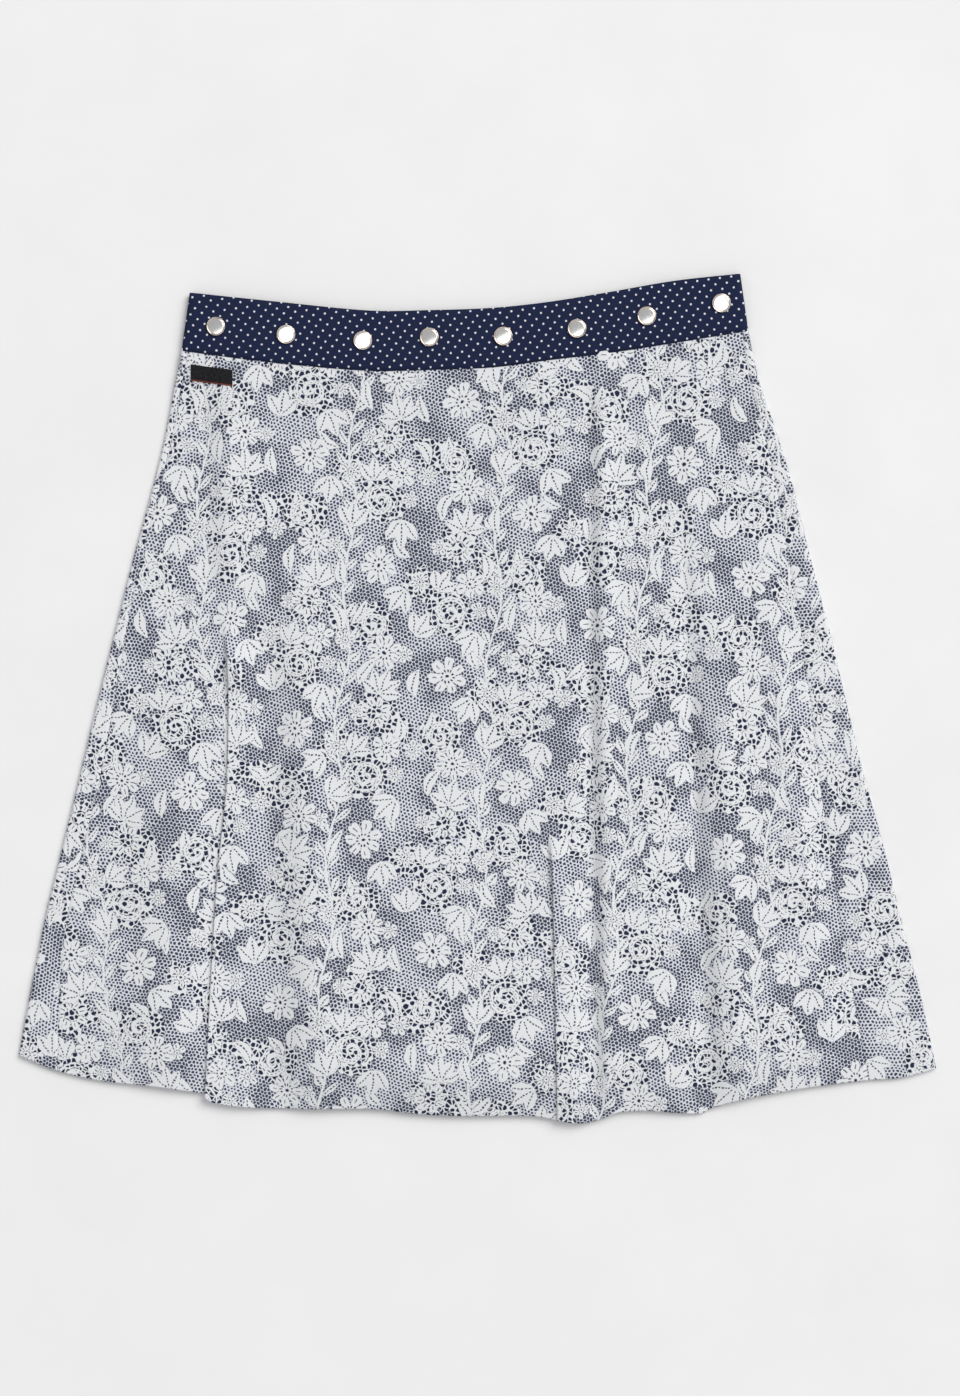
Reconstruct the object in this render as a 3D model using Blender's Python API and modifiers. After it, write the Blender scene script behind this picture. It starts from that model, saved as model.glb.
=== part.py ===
"""A wrap skirt that lies flat: three flared panels on a spotted waistband with press studs.

Sizes are in millimetres and become metres where a mesh is made. X runs to the right across the
skirt, Y up towards the waist and Z up from the surface it lies on. The panels go round the body
as one strip: the right wrap comes from under the skirt round the right edge to its side seam,
the front panel crosses to the left side seam, and the left wrap goes round the left edge and
back under, where the two free ends overlap. Every panel is a loft of sections from waist to hem.
"""

import math

import bmesh
import bpy

MM = 0.001

# Cloth
CLOTH = 1.0  # thickness of a panel
BAND_CLOTH = 1.8  # the waistband is folded double over the panels' top edges
LAYER_GAP = 0.3  # between layers that lie on each other, and at seams
PLEAT_GAP = 0.45  # between the layers of a knife fold

# Press studs
STUD_RADIUS = 7.0
STUD_DOME = 2.4
BACK_STUD_HEIGHT = 1.2
STUD_STEPS = 18

# Label
LABEL_LENGTH = 30.0
LABEL_WIDTH = 11.5
LABEL_THICKNESS = 0.8
LABEL_LEFT = -205.8
LABEL_DROP = 9.5  # below the waistband's lower edge
LABEL_COLUMNS = 8
LABEL_ROWS = 2

# Heights of the middle of the cloth where the layers lie on each other
OUTER_LEVEL = CLOTH / 2
INNER_LEVEL = OUTER_LEVEL + CLOTH + LAYER_GAP
FRONT_LEVEL = INNER_LEVEL + CLOTH + LAYER_GAP
OUTER_BAND_LEVEL = BACK_STUD_HEIGHT + LAYER_GAP + BAND_CLOTH / 2
INNER_BAND_LEVEL = OUTER_BAND_LEVEL + BAND_CLOTH + LAYER_GAP
FRONT_BAND_LEVEL = INNER_BAND_LEVEL + BAND_CLOTH + LAYER_GAP
WAIST_EASE = 0.11  # share of the length in which a panel comes down from the band's level
EDGE_LIFT = 1.4  # how much higher the cloth stands where it rounds the side edges

# Side edges: share of the length from waist to hem, x of each edge, and how far inside them
# the side seams run.
EDGES = (
    # down, left_x, right_x, left_seam, right_seam
    (0.00, -212.8, 194.8, 5.0, 5.0),
    (0.06, -218.9, 201.6, 5.0, 6.5),
    (0.13, -225.9, 214.0, 5.0, 9.0),
    (0.20, -234.6, 225.5, 5.0, 11.5),
    (0.30, -248.4, 238.7, 5.5, 15.5),
    (0.40, -261.1, 252.6, 8.0, 20.0),
    (0.50, -273.7, 265.0, 11.5, 25.5),
    (0.60, -285.8, 277.8, 14.0, 32.0),
    (0.70, -298.2, 292.4, 14.0, 38.5),
    (0.80, -310.5, 305.2, 15.0, 43.5),
    (0.90, -320.7, 318.8, 20.0, 47.5),
    (1.00, -330.1, 330.1, 28.0, 49.0),
)
EDGE_COLUMNS = {"left": 1, "right": 2, "left_seam": 3, "right_seam": 4}

# Waistband: share of the width from left to right, y of its lower and upper edge.
BAND = (
    # across, lower_y, upper_y
    (0.00, 250.2, 291.4),
    (0.16, 241.8, 284.8),
    (0.33, 235.9, 278.4),
    (0.44, 236.5, 278.8),
    (0.55, 238.4, 280.4),
    (0.65, 243.6, 284.6),
    (0.76, 249.0, 291.6),
    (0.88, 256.6, 299.8),
    (1.00, 264.6, 305.0),
)
BAND_TOP_LEFT = -207.0
BAND_TOP_RIGHT = 189.0

# Hem of the front: share of the width from left to right, and y.
HEM = (
    # across, y
    (0.000, -256.7),
    (0.203, -287.6),
    (0.214, -290.5),
    (0.241, -293.4),
    (0.306, -294.8),
    (0.394, -295.2),
    (0.430, -298.2),
    (0.481, -299.9),
    (0.562, -300.1),
    (0.585, -302.8),
    (0.606, -304.9),
    (0.623, -304.3),
    (0.635, -302.0),
    (0.653, -297.4),
    (0.685, -296.3),
    (0.712, -297.5),
    (0.744, -298.4),
    (0.753, -295.0),
    (0.786, -288.4),
    (0.859, -279.7),
    (0.920, -274.7),
    (0.962, -272.5),
    (1.000, -266.0),
)
# Hem of the cloth on the left of the large knife fold, which runs on under it.
HEM_LEFT = (
    # across, y
    (0.000, -256.7),
    (0.045, -268.2),
    (0.094, -275.2),
    (0.143, -278.3),
    (0.197, -283.3),
    (0.252, -288.6),
)
UNDER_HEM_SAG = 26.0

# Free ends of the wraps on the underside: x at waist and hem.
OUTER_END_WAIST, OUTER_END_HEM = 32.0, 70.0
INNER_END_WAIST, INNER_END_HEM = -55.0, -95.0
STEP_CLEARANCE = 1.0  # from the outer end to where the inner wrap lies on it
STEP_RUN = 11.0

# Knife folds: the cloth on the right lies over the cloth on the left. x places the crisp edge and
# overlap says how far it covers, both by share of the length. The fold begins at start and lies
# flat from full on, and settle is the width over which the cloth on top comes down again.
PLEATS = {
    "large": {
        "x": ((0.0, -186.0), (0.40, -179.5), (0.57, -180.4), (0.71, -187.6), (1.0, -196.2)),
        "overlap": ((0.0, 2.0), (0.40, 2.2), (0.49, 9.0), (0.57, 16.0), (0.67, 24.0), (1.0, 32.0)),
        "start": 0.35,
        "full": 0.46,
        "settle": 28.0,
    },
    "small": {
        "x": ((0.0, 60.0), (0.60, 53.4), (0.85, 55.5), (1.0, 57.0)),
        "overlap": ((0.0, 1.6), (0.66, 1.8), (0.80, 4.0), (1.0, 7.0)),
        "start": 0.60,
        "full": 0.72,
        "settle": 9.0,
    },
}
TURN_RADIUS = (CLOTH + PLEAT_GAP) / 2
TURN_STEPS = 4
PLEAT_STEPS = {"large": 4, "small": 2}

# Soft folds of the front, as lines from waist to hem with the cloth's height above its flat level
# on each, at the four shares of the length in LIFT_PLACES, and the number of grid columns up to
# the next line. The two lines with no place follow the side seams.
LIFT_PLACES = (0.15, 0.40, 0.70, 0.93)
LINES = (
    # name, waist_x, hem_x, upper, middle, lower, hem, columns
    ("left_seam", None, None, 0.6, 1.0, 1.4, 1.4, 4),
    ("left_crest", -202.0, -226.0, 0.2, 0.8, 3.2, 5.0, 5),
    ("large_ridge", -176.0, -170.0, 3.4, 2.4, 0.6, 0.8, 5),
    ("plateau_left", -136.0, -101.0, 1.0, 3.2, 7.5, 11.0, 6),
    ("plateau_middle", -40.0, -22.0, 0.8, 3.0, 7.0, 10.0, 6),
    ("plateau_right", 52.0, 48.0, 0.8, 2.6, 5.4, 8.0, 0),
    ("narrow_ridge", 69.0, 67.5, 2.6, 5.0, 7.4, 9.4, 3),
    ("narrow_valley", 79.0, 82.5, 0.4, 1.4, 2.6, 3.8, 2),
    ("narrow_flank", 88.0, 94.0, 2.2, 4.6, 7.0, 8.0, 2),
    ("middle_ridge", 102.0, 118.0, 2.6, 5.2, 7.8, 9.6, 3),
    ("deep_ridge", 132.0, 157.0, 1.4, 4.4, 7.6, 9.0, 2),
    ("deep_valley", 139.0, 167.0, 0.8, 1.6, 2.0, 2.4, 2),
    ("deep_flank", 148.0, 181.0, 1.6, 4.4, 7.0, 8.4, 2),
    ("right_plateau", 157.0, 202.0, 1.4, 4.4, 7.6, 9.4, 4),
    ("right_shoulder", 178.0, 254.0, 1.0, 3.2, 5.4, 6.4, 4),
    ("right_seam", None, None, 0.6, 1.4, 2.0, 2.2, 0),
)
HEM_DROOP = 0.45  # share of its height that the cloth loses at the hem, where nothing holds it up
HEM_DROOP_START = 0.90
LEFT_OF_LARGE = ("left_seam", "left_crest")
BETWEEN_PLEATS = ("large_ridge", "plateau_left", "plateau_middle")
RIGHT_OF_SMALL = (
    "narrow_ridge",
    "narrow_valley",
    "narrow_flank",
    "middle_ridge",
    "deep_ridge",
    "deep_valley",
    "deep_flank",
    "right_plateau",
    "right_shoulder",
    "right_seam",
)

# Rows of the lofts, as shares of the length from waist to hem: close together where the panels
# come down from the band and where the large knife fold begins.
ROWS = (
    0.0, 0.025, 0.05, 0.08, 0.12, 0.17, 0.22, 0.28, 0.335, 0.37, 0.395, 0.42, 0.445,
    0.48, 0.53, 0.58, 0.63, 0.68, 0.74, 0.80, 0.86, 0.91, 0.96, 1.0,
)
BAND_ROWS = 3
EDGE_STEPS = 5
SEAM_COLUMNS = 3  # from a side seam to where the cloth rounds the edge
PLEAT_COLUMNS = {"large": 5, "small": 2}  # from a knife fold to the next soft fold
UNDER_COLUMNS = 6
STEP_COLUMNS = 3  # where the inner wrap climbs onto the outer one
BAND_COLUMNS = 26

# Front studs: x of each, and how far above the middle of the band it sits.
FRONT_STUDS = (
    # x, above_middle
    (-187.7, -0.8),
    (-137.4, -0.9),
    (-82.3, -0.4),
    (-34.6, 1.7),
    (18.4, 0.0),
    (71.4, -1.2),
    (121.5, 0.2),
    (175.0, 1.6),
)
BACK_STUD_FIRST = -188.0
BACK_STUD_PITCH = 50.4
BACK_STUD_COUNT = 8

# name: colour, metallic, roughness
FINISHES = {
    "lace_print_cloth": ((0.52, 0.54, 0.58, 1.0), 0.0, 0.9),
    "spotted_band_cloth": ((0.014, 0.020, 0.065, 1.0), 0.0, 0.85),
    "polished_steel": ((0.78, 0.77, 0.75, 1.0), 1.0, 0.22),
    "black_woven_tape": ((0.012, 0.012, 0.014, 1.0), 0.0, 0.7),
}


def ease(start, end, at):
    """0 before start, 1 after end, and a smooth rise between them."""
    share = min(1.0, max(0.0, (at - start) / (end - start)))
    return share * share * (3.0 - 2.0 * share)


def mix(first, second, share):
    return first + (second - first) * share


def through(points, at):
    """Value at `at` of a smooth curve through (place, value) points."""
    if at <= points[0][0]:
        return points[0][1]
    if at >= points[-1][0]:
        return points[-1][1]
    index = max(i for i in range(len(points) - 1) if points[i][0] <= at)
    left, right = points[index], points[index + 1]
    span = right[0] - left[0]

    def slope(i):
        low, high = max(i - 1, 0), min(i + 1, len(points) - 1)
        return (points[high][1] - points[low][1]) / (points[high][0] - points[low][0])

    t = (at - left[0]) / span
    start_slope, end_slope = slope(index) * span, slope(index + 1) * span
    return (
        (2 * t**3 - 3 * t**2 + 1) * left[1]
        + (t**3 - 2 * t**2 + t) * start_slope
        + (3 * t**2 - 2 * t**3) * right[1]
        + (t**3 - t**2) * end_slope
    )


def edge(name, down):
    """x of a side edge at a share of the length, or the inset of a side seam from it."""
    column = EDGE_COLUMNS[name]
    return through([(row[0], row[column]) for row in EDGES], down)


def across(x, down):
    """Share of the width from the left edge to the right one at which x lies."""
    left, right = edge("left", down), edge("right", down)
    return (x - left) / (right - left)


def band_y(share, upward):
    """y on the waistband: upward is 0 at its lower edge and 1 at its upper one."""
    lower = through([(row[0], row[1]) for row in BAND], share)
    upper = through([(row[0], row[2]) for row in BAND], share)
    return mix(lower, upper, upward)


def front_y(x, down, side=1.0):
    """y of the front cloth: side is 0 left of the large knife fold and 1 right of it."""
    share = across(x, down)
    hem = mix(through(HEM_LEFT, share), through(HEM, share), side)
    return mix(band_y(share, 0.0) - LAYER_GAP, hem, down)


def under_y(x, down):
    """y of the cloth underneath, whose hem stays hidden behind the front one."""
    share = across(x, down)
    hem = mix(HEM[0][1], HEM[-1][1], share) - UNDER_HEM_SAG * 4.0 * share * (1.0 - share)
    return mix(band_y(share, 0.0) - LAYER_GAP, hem, down)


def level(band_level, flat_level, down):
    """Height of the cloth's middle as it comes down from the band to where it lies flat."""
    return mix(band_level, flat_level, ease(0.0, WAIST_EASE, down))


def seam_x(side, down):
    """x of a side seam."""
    inset = edge(side + "_seam", down)
    return edge(side, down) + (inset if side == "left" else -inset)


def line_place(line, down):
    """(x, lift) of a soft fold's line at a share of the length."""
    name, waist_x, hem_x = line[:3]
    if waist_x is None:
        x = seam_x(name.split("_")[0], down)
    else:
        x = mix(waist_x, hem_x, down)
    lifts = ((0.0, 0.0),) + tuple(zip(LIFT_PLACES, line[3:7])) + ((1.0, line[6]),)
    droop = HEM_DROOP * ease(HEM_DROOP_START, 1.0, down)
    return x, through(lifts, down) * (1.0 - droop)


def lift_at(x, down):
    """Height that the soft folds add at x."""
    places = [line_place(line, down) for line in LINES]
    if x <= places[0][0]:
        return places[0][1]
    for (left_x, left_lift), (right_x, right_lift) in zip(places, places[1:]):
        if x <= right_x:
            return mix(left_lift, right_lift, ease(left_x, right_x, x))
    return places[-1][1]


def pleat_path(name, down):
    """Centre line of a knife fold's section, from level cloth to level cloth.

    The heading rises from 0 to the fold's angle, holds it over the overlap and falls back to 0,
    so that at half a turn the cloth goes back over itself and then on again on top.
    """
    pleat = PLEATS[name]
    angle = math.pi * ease(pleat["start"], pleat["full"], down)
    turn = math.pi * TURN_RADIUS
    overlap = through(pleat["overlap"], down)
    flat_steps = PLEAT_STEPS[name]
    headings = [angle * (i + 0.5) / TURN_STEPS for i in range(TURN_STEPS)]
    steps = [(turn / TURN_STEPS, heading) for heading in headings]
    steps += [(overlap / flat_steps, angle)] * flat_steps
    steps += [(turn / TURN_STEPS, heading) for heading in reversed(headings)]
    path = [(0.0, 0.0)]
    for length, heading in steps:
        x, z = path[-1]
        path.append((x + length * math.cos(heading), z + length * math.sin(heading)))
    middle = TURN_STEPS + flat_steps + TURN_STEPS // 2
    shift = through(pleat["x"], down) + CLOTH / 2 * ease(0.0, math.pi, angle) - path[middle][0]
    return [(x + shift, z) for x, z in path]


def evenly(first, last, count):
    """count places after first, up to and including last."""
    return [mix(first, last, (i + 1) / count) for i in range(count)]


def run(places, counts):
    """Places along a run of stops, with count places in each stretch, the first stop included."""
    found = [places[0]]
    for first, last, count in zip(places, places[1:], counts):
        found += evenly(first, last, count)
    return found


def front_section(down):
    """Points (x, y, z) across the front panel at a share of the length."""
    lines = {line[0]: line for line in LINES}
    place = {name: line_place(line, down)[0] for name, line in lines.items()}
    large, small = pleat_path("large", down), pleat_path("small", down)
    base = level(FRONT_BAND_LEVEL, FRONT_LEVEL, down)
    rises = {"large": large[-1][1], "small": small[-1][1]}

    stops = [place["left_seam"] + LAYER_GAP / 2, place["left_crest"], large[0][0]]
    points = [(x, 0.0, 0.0) for x in run(stops, [lines[n][7] for n in LEFT_OF_LARGE])]
    count = len(large) - 1
    points += [(x, z, i / count) for i, (x, z) in enumerate(large) if i]

    def settled(name, x, path):
        reach = max(point[0] for point in path) + 1.0
        return rises[name] * (1.0 - ease(reach, reach + PLEATS[name]["settle"], x))

    stops = [large[-1][0]] + [place[name] for name in BETWEEN_PLEATS] + [small[0][0]]
    counts = [PLEAT_COLUMNS["large"]] + [lines[name][7] for name in BETWEEN_PLEATS]
    for x in run(stops, counts)[1:]:
        points.append((x, settled("large", x, large), 1.0))
    rest = settled("large", small[0][0], large)
    points += [(x, z + rest, 1.0) for x, z in small[1:]]
    stops = [small[-1][0]] + [place[name] for name in RIGHT_OF_SMALL]
    stops[-1] -= LAYER_GAP / 2
    counts = [PLEAT_COLUMNS["small"]] + [lines[name][7] for name in RIGHT_OF_SMALL]
    for x in run(stops, counts)[1:]:
        points.append((x, settled("small", x, small), 1.0))
    return [(x, front_y(x, down, side), base + z + lift_at(x, down)) for x, z, side in points]


def around_edge(side, down, top_level, under_level, thickness, edge_x):
    """Points (x, z) of the half turn round a side edge, from the top layer to the bottom one."""
    radius = (top_level - under_level) / 2
    inward = 1.0 if side == "left" else -1.0
    centre = edge_x + inward * (radius + thickness / 2)
    middle = (top_level + under_level) / 2
    turns = [math.pi * i / EDGE_STEPS for i in range(EDGE_STEPS + 1)]
    return [(centre - inward * radius * math.sin(a), middle + radius * math.cos(a)) for a in turns]


def wrap_end(side, down):
    """x of a wrap's free end on the underside."""
    if side == "left":
        return mix(OUTER_END_WAIST, OUTER_END_HEM, down)
    return mix(INNER_END_WAIST, INNER_END_HEM, down)


def under_run(side, down, start_x):
    """(x, share) places along the underside, share being 1 where the wrap lies on the other."""
    end = wrap_end(side, down)
    if side == "left":
        return [(x, 0.0) for x in evenly(start_x, end, UNDER_COLUMNS)]
    foot = wrap_end("left", down) + STEP_CLEARANCE + STEP_RUN
    top = foot - STEP_RUN
    places = evenly(start_x, foot, UNDER_COLUMNS // 2) + evenly(foot, top, STEP_COLUMNS)
    places += evenly(top, end, UNDER_COLUMNS // 2)
    return [(x, 1.0 - ease(top, foot, x)) for x in places]


def wrap_section(side, down):
    """Points (x, y, z) of a wrap panel, from its side seam round the edge to its free end."""
    base = level(FRONT_BAND_LEVEL, FRONT_LEVEL, down)
    bottom = level(OUTER_BAND_LEVEL, OUTER_LEVEL, down)
    upper = level(INNER_BAND_LEVEL, INNER_LEVEL, down)
    away = -1.0 if side == "left" else 1.0
    start = seam_x(side, down) + away * LAYER_GAP / 2
    seam_lift = lift_at(start, down)
    edge_lift = min(seam_lift, EDGE_LIFT)
    turn = around_edge(side, down, base + edge_lift, bottom, CLOTH, edge(side, down))
    points = []
    top_x = turn[0][0]
    for x in [start] + evenly(start, top_x, SEAM_COLUMNS)[:-1]:
        lift = mix(seam_lift, edge_lift, ease(0.0, 1.0, (x - start) / (top_x - start)))
        points.append((x, front_y(x, down, 1.0 if side == "right" else 0.0), base + lift))
    points += [(x, under_y(x, down), z) for x, z in turn]
    for x, share in under_run(side, down, turn[-1][0]):
        points.append((x, under_y(x, down), mix(bottom, upper, share)))
    return points


def band_section(upward):
    """Points (x, y, z) of the waistband, from its inner end round both edges to its outer end."""
    left = mix(edge("left", 0.0), BAND_TOP_LEFT, upward)
    right = mix(edge("right", 0.0), BAND_TOP_RIGHT, upward)
    turns = {}
    for side, edge_x in (("left", left), ("right", right)):
        turns[side] = around_edge(
            side, 0.0, FRONT_BAND_LEVEL, OUTER_BAND_LEVEL, BAND_CLOTH, edge_x
        )
    points = []
    for x, share in reversed(under_run("right", 0.0, turns["right"][-1][0])):
        points.append((x, mix(OUTER_BAND_LEVEL, INNER_BAND_LEVEL, share)))
    points += list(reversed(turns["right"]))
    points += [
        (x, FRONT_BAND_LEVEL)
        for x in evenly(turns["right"][0][0], turns["left"][0][0], BAND_COLUMNS)[:-1]
    ]
    points += turns["left"]
    points += [(x, OUTER_BAND_LEVEL) for x, _ in under_run("left", 0.0, turns["left"][-1][0])]
    return [(x, band_y((x - left) / (right - left), upward), z) for x, z in points]


def new_object(name, mesh, material, collection):
    """An object with its finish, in the skirt's collection."""
    obj = bpy.data.objects.new(name, mesh)
    if not mesh.materials:
        mesh.materials.append(material)
    collection.objects.link(obj)
    return obj


def loft(name, sections, thickness, material, collection):
    """One sheet of cloth through sections, given its thickness to both sides."""
    bm = bmesh.new()
    rows = [[bm.verts.new([value * MM for value in point]) for point in row] for row in sections]
    for upper, lower in zip(rows, rows[1:]):
        for i in range(len(upper) - 1):
            bm.faces.new((upper[i], lower[i], lower[i + 1], upper[i + 1]))
    mesh = bpy.data.meshes.new(name)
    bm.to_mesh(mesh)
    bm.free()
    mesh.shade_smooth()
    sheet = new_object(name, mesh, material, collection)
    wall = sheet.modifiers.new("cloth", "SOLIDIFY")
    wall.thickness = thickness * MM
    wall.offset = 0.0
    return sheet


def turned_mesh(name, profile):
    """A mesh turned about Z from (radius, height) points that run from the top axis down."""
    bm = bmesh.new()
    points = [bm.verts.new((radius * MM, 0.0, height * MM)) for radius, height in profile]
    edges = [bm.edges.new(pair) for pair in zip(points, points[1:])]
    bmesh.ops.spin(
        bm,
        geom=points + edges,
        cent=(0.0, 0.0, 0.0),
        axis=(0.0, 0.0, 1.0),
        angle=2.0 * math.pi,
        steps=STUD_STEPS,
        use_merge=True,
    )
    bmesh.ops.remove_doubles(bm, verts=bm.verts, dist=0.00001)
    bmesh.ops.recalc_face_normals(bm, faces=bm.faces)
    mesh = bpy.data.meshes.new(name)
    bm.to_mesh(mesh)
    bm.free()
    mesh.shade_smooth()
    return mesh


def front_stud_profile():
    """Low dome with a rolled rim."""
    return (
        (0.0, STUD_DOME),
        (STUD_RADIUS * 0.45, STUD_DOME * 0.92),
        (STUD_RADIUS * 0.80, STUD_DOME * 0.66),
        (STUD_RADIUS, STUD_DOME * 0.33),
        (STUD_RADIUS, 0.0),
        (0.0, 0.0),
    )


def back_stud_profile():
    """Flat cap with a chamfered rim, which rests on the surface."""
    return (
        (0.0, BACK_STUD_HEIGHT),
        (STUD_RADIUS, BACK_STUD_HEIGHT),
        (STUD_RADIUS, BACK_STUD_HEIGHT * 0.45),
        (STUD_RADIUS * 0.88, 0.0),
        (0.0, 0.0),
    )


def add_studs(material, collection):
    """Eight caps on the front of the band and eight under it."""
    middle = 0.5
    width = edge("right", 0.0) - edge("left", 0.0)
    dome = turned_mesh("front_stud", front_stud_profile())
    top = FRONT_BAND_LEVEL + BAND_CLOTH / 2 + LAYER_GAP
    for number, (x, above) in enumerate(FRONT_STUDS, 1):
        y = band_y((x - edge("left", 0.0)) / width, middle) + above
        stud = new_object(f"front_stud_{number}", dome, material, collection)
        stud.location = (x * MM, y * MM, top * MM)
    cap = turned_mesh("back_stud", back_stud_profile())
    for number in range(1, BACK_STUD_COUNT + 1):
        x = BACK_STUD_FIRST + BACK_STUD_PITCH * (number - 1)
        y = band_y((x - edge("left", 0.0)) / width, middle)
        stud = new_object(f"back_stud_{number}", cap, material, collection)
        stud.location = (x * MM, y * MM, 0.0)


def label_sections():
    """Rows of the label, made from the front panel's points and moved out."""
    rise = CLOTH / 2 + LAYER_GAP + LABEL_THICKNESS / 2
    sections = []
    for row in range(LABEL_ROWS + 1):
        points = []
        for column in range(LABEL_COLUMNS + 1):
            x = LABEL_LEFT + LABEL_LENGTH * column / LABEL_COLUMNS
            share = across(x, 0.0)
            y = band_y(share, 0.0) - LABEL_DROP - LABEL_WIDTH * row / LABEL_ROWS
            down = (band_y(share, 0.0) - y) / (band_y(share, 0.0) - HEM[1][1])
            z = level(FRONT_BAND_LEVEL, FRONT_LEVEL, down) + lift_at(x, down) + rise
            points.append((x, y, z))
        sections.append(points)
    return sections


def finish(name):
    """A Principled material from the table of finishes."""
    colour, metallic, roughness = FINISHES[name]
    material = bpy.data.materials.new(name)
    material.use_nodes = True
    shader = material.node_tree.nodes["Principled BSDF"]
    shader.inputs["Base Color"].default_value = colour
    shader.inputs["Metallic"].default_value = metallic
    shader.inputs["Roughness"].default_value = roughness
    material.diffuse_color = colour
    return material


def build():
    """Clears the scene and builds every piece of the skirt."""
    for obj in list(bpy.data.objects):
        bpy.data.objects.remove(obj, do_unlink=True)
    skirt = bpy.data.collections.new("wrap_skirt")
    bpy.context.scene.collection.children.link(skirt)
    materials = {name: finish(name) for name in FINISHES}
    lace = materials["lace_print_cloth"]
    loft("front_panel", [front_section(v) for v in ROWS], CLOTH, lace, skirt)
    left = [wrap_section("left", v)[::-1] for v in ROWS]
    loft("left_wrap_panel", left, CLOTH, lace, skirt)
    loft("right_wrap_panel", [wrap_section("right", v) for v in ROWS], CLOTH, lace, skirt)
    band_rows = [band_section(1.0 - i / BAND_ROWS)[::-1] for i in range(BAND_ROWS + 1)]
    loft("waistband", band_rows, BAND_CLOTH, materials["spotted_band_cloth"], skirt)
    add_studs(materials["polished_steel"], skirt)
    loft("label", label_sections(), LABEL_THICKNESS, materials["black_woven_tape"], skirt)


build()
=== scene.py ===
"""Looks of a wrap skirt laid flat: printed panels, spotted waistband, press studs and label.

Lengths are in millimetres and become metres where a mesh is made, as they do in the part's own
source, whose tables this file repeats. X runs to the right across the skirt, Y up towards the
waist and Z up from the surface it lies on.
"""

import logging
import math
from dataclasses import dataclass, field
from enum import Enum
from typing import Sequence, Union

import bmesh
import bpy
import numpy as np
from mathutils import Matrix, Vector


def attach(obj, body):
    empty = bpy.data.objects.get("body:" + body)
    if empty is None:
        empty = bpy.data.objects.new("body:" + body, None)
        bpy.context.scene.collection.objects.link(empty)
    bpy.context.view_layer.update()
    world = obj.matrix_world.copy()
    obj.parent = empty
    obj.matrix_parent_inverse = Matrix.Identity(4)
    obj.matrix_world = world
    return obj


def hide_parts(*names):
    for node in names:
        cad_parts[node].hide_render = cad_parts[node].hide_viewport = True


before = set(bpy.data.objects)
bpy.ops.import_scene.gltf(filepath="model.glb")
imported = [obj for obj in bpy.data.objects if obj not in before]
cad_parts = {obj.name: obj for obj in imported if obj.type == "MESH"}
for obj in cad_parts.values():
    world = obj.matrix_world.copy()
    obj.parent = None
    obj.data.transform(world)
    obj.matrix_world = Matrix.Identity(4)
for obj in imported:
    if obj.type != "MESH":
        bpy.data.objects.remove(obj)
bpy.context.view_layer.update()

MM = 0.001
BODY = "root"
LOG = logging.getLogger("wrap_skirt")

Array = np.ndarray
Pairs = tuple[tuple[float, float], ...]
Value = Union[float, tuple, bpy.types.NodeSocket]


class Slot(Enum):
    """Material slots of the record."""

    LACE = "lace_print_cloth"
    BAND = "spotted_band_cloth"
    STEEL = "polished_steel"
    TAPE = "black_woven_tape"


class Side(Enum):
    """The two side edges, with the way that leads outwards in X."""

    LEFT = -1.0
    RIGHT = 1.0

    @property
    def word(self) -> str:
        """Name used in the tables."""
        return self.name.lower()


# ---------------------------------------------------------------------------------------------
# Curves and runs
# ---------------------------------------------------------------------------------------------


def ease(start: float, end: float, at: Union[float, Array]) -> Array:
    """A smooth rise.

    Args:
        start: place up to which the result is 0.
        end: place from which the result is 1.
        at: places to read.

    Returns:
        The height of the rise at each place.
    """
    share = np.clip((np.asarray(at, float) - start) / (end - start), 0.0, 1.0)
    return share * share * (3.0 - 2.0 * share)


def mix(first: Value, second: Value, share: Union[float, Array]) -> Array:
    """The value a share of the way from first to second."""
    return first + (second - first) * share


@dataclass(frozen=True)
class Curve:
    """A smooth curve through (place, value) points, level beyond its ends."""

    points: Pairs

    def at(self, places: Union[float, Array]) -> Array:
        """Values of the curve.

        Args:
            places: one place or many.

        Returns:
            The value at each place.
        """
        x, y = np.array(self.points, float).T
        slopes = np.empty(len(x))
        slopes[1:-1] = (y[2:] - y[:-2]) / (x[2:] - x[:-2])
        slopes[0], slopes[-1] = (y[1] - y[0]) / (x[1] - x[0]), (y[-1] - y[-2]) / (x[-1] - x[-2])
        at = np.clip(np.asarray(places, float), x[0], x[-1])
        low = np.clip(np.searchsorted(x, at, side="right") - 1, 0, len(x) - 2)
        span = x[low + 1] - x[low]
        t = (at - x[low]) / span
        return (
            (2 * t**3 - 3 * t**2 + 1) * y[low]
            + (t**3 - 2 * t**2 + t) * slopes[low] * span
            + (3 * t**2 - 2 * t**3) * y[low + 1]
            + (t**3 - t**2) * slopes[low + 1] * span
        )


def run(stops: Sequence[float], counts: Sequence[int]) -> Array:
    """Places along a run of stops.

    Args:
        stops: the places where the stretches meet.
        counts: how many steps each stretch has.

    Returns:
        All places, both ends included.
    """
    parts = [np.linspace(a, b, n + 1)[1:] for a, b, n in zip(stops, stops[1:], counts)]
    return np.concatenate([[stops[0]], *parts])


def finer(places: Array, times: int) -> Array:
    """Places with each step cut into smaller ones.

    Args:
        places: the coarse places, one row for each if there are several columns.
        times: how many small steps replace one coarse step.

    Returns:
        The fine places, with the coarse ones among them.
    """
    index = np.arange((len(places) - 1) * times + 1) / times
    low = np.minimum(index.astype(int), len(places) - 2)
    share = index - low
    if places.ndim > 1:
        share = share.reshape((-1,) + (1,) * (places.ndim - 1))
    return mix(places[low], places[low + 1], share)


# ---------------------------------------------------------------------------------------------
# Form of the skirt
# ---------------------------------------------------------------------------------------------


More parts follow.
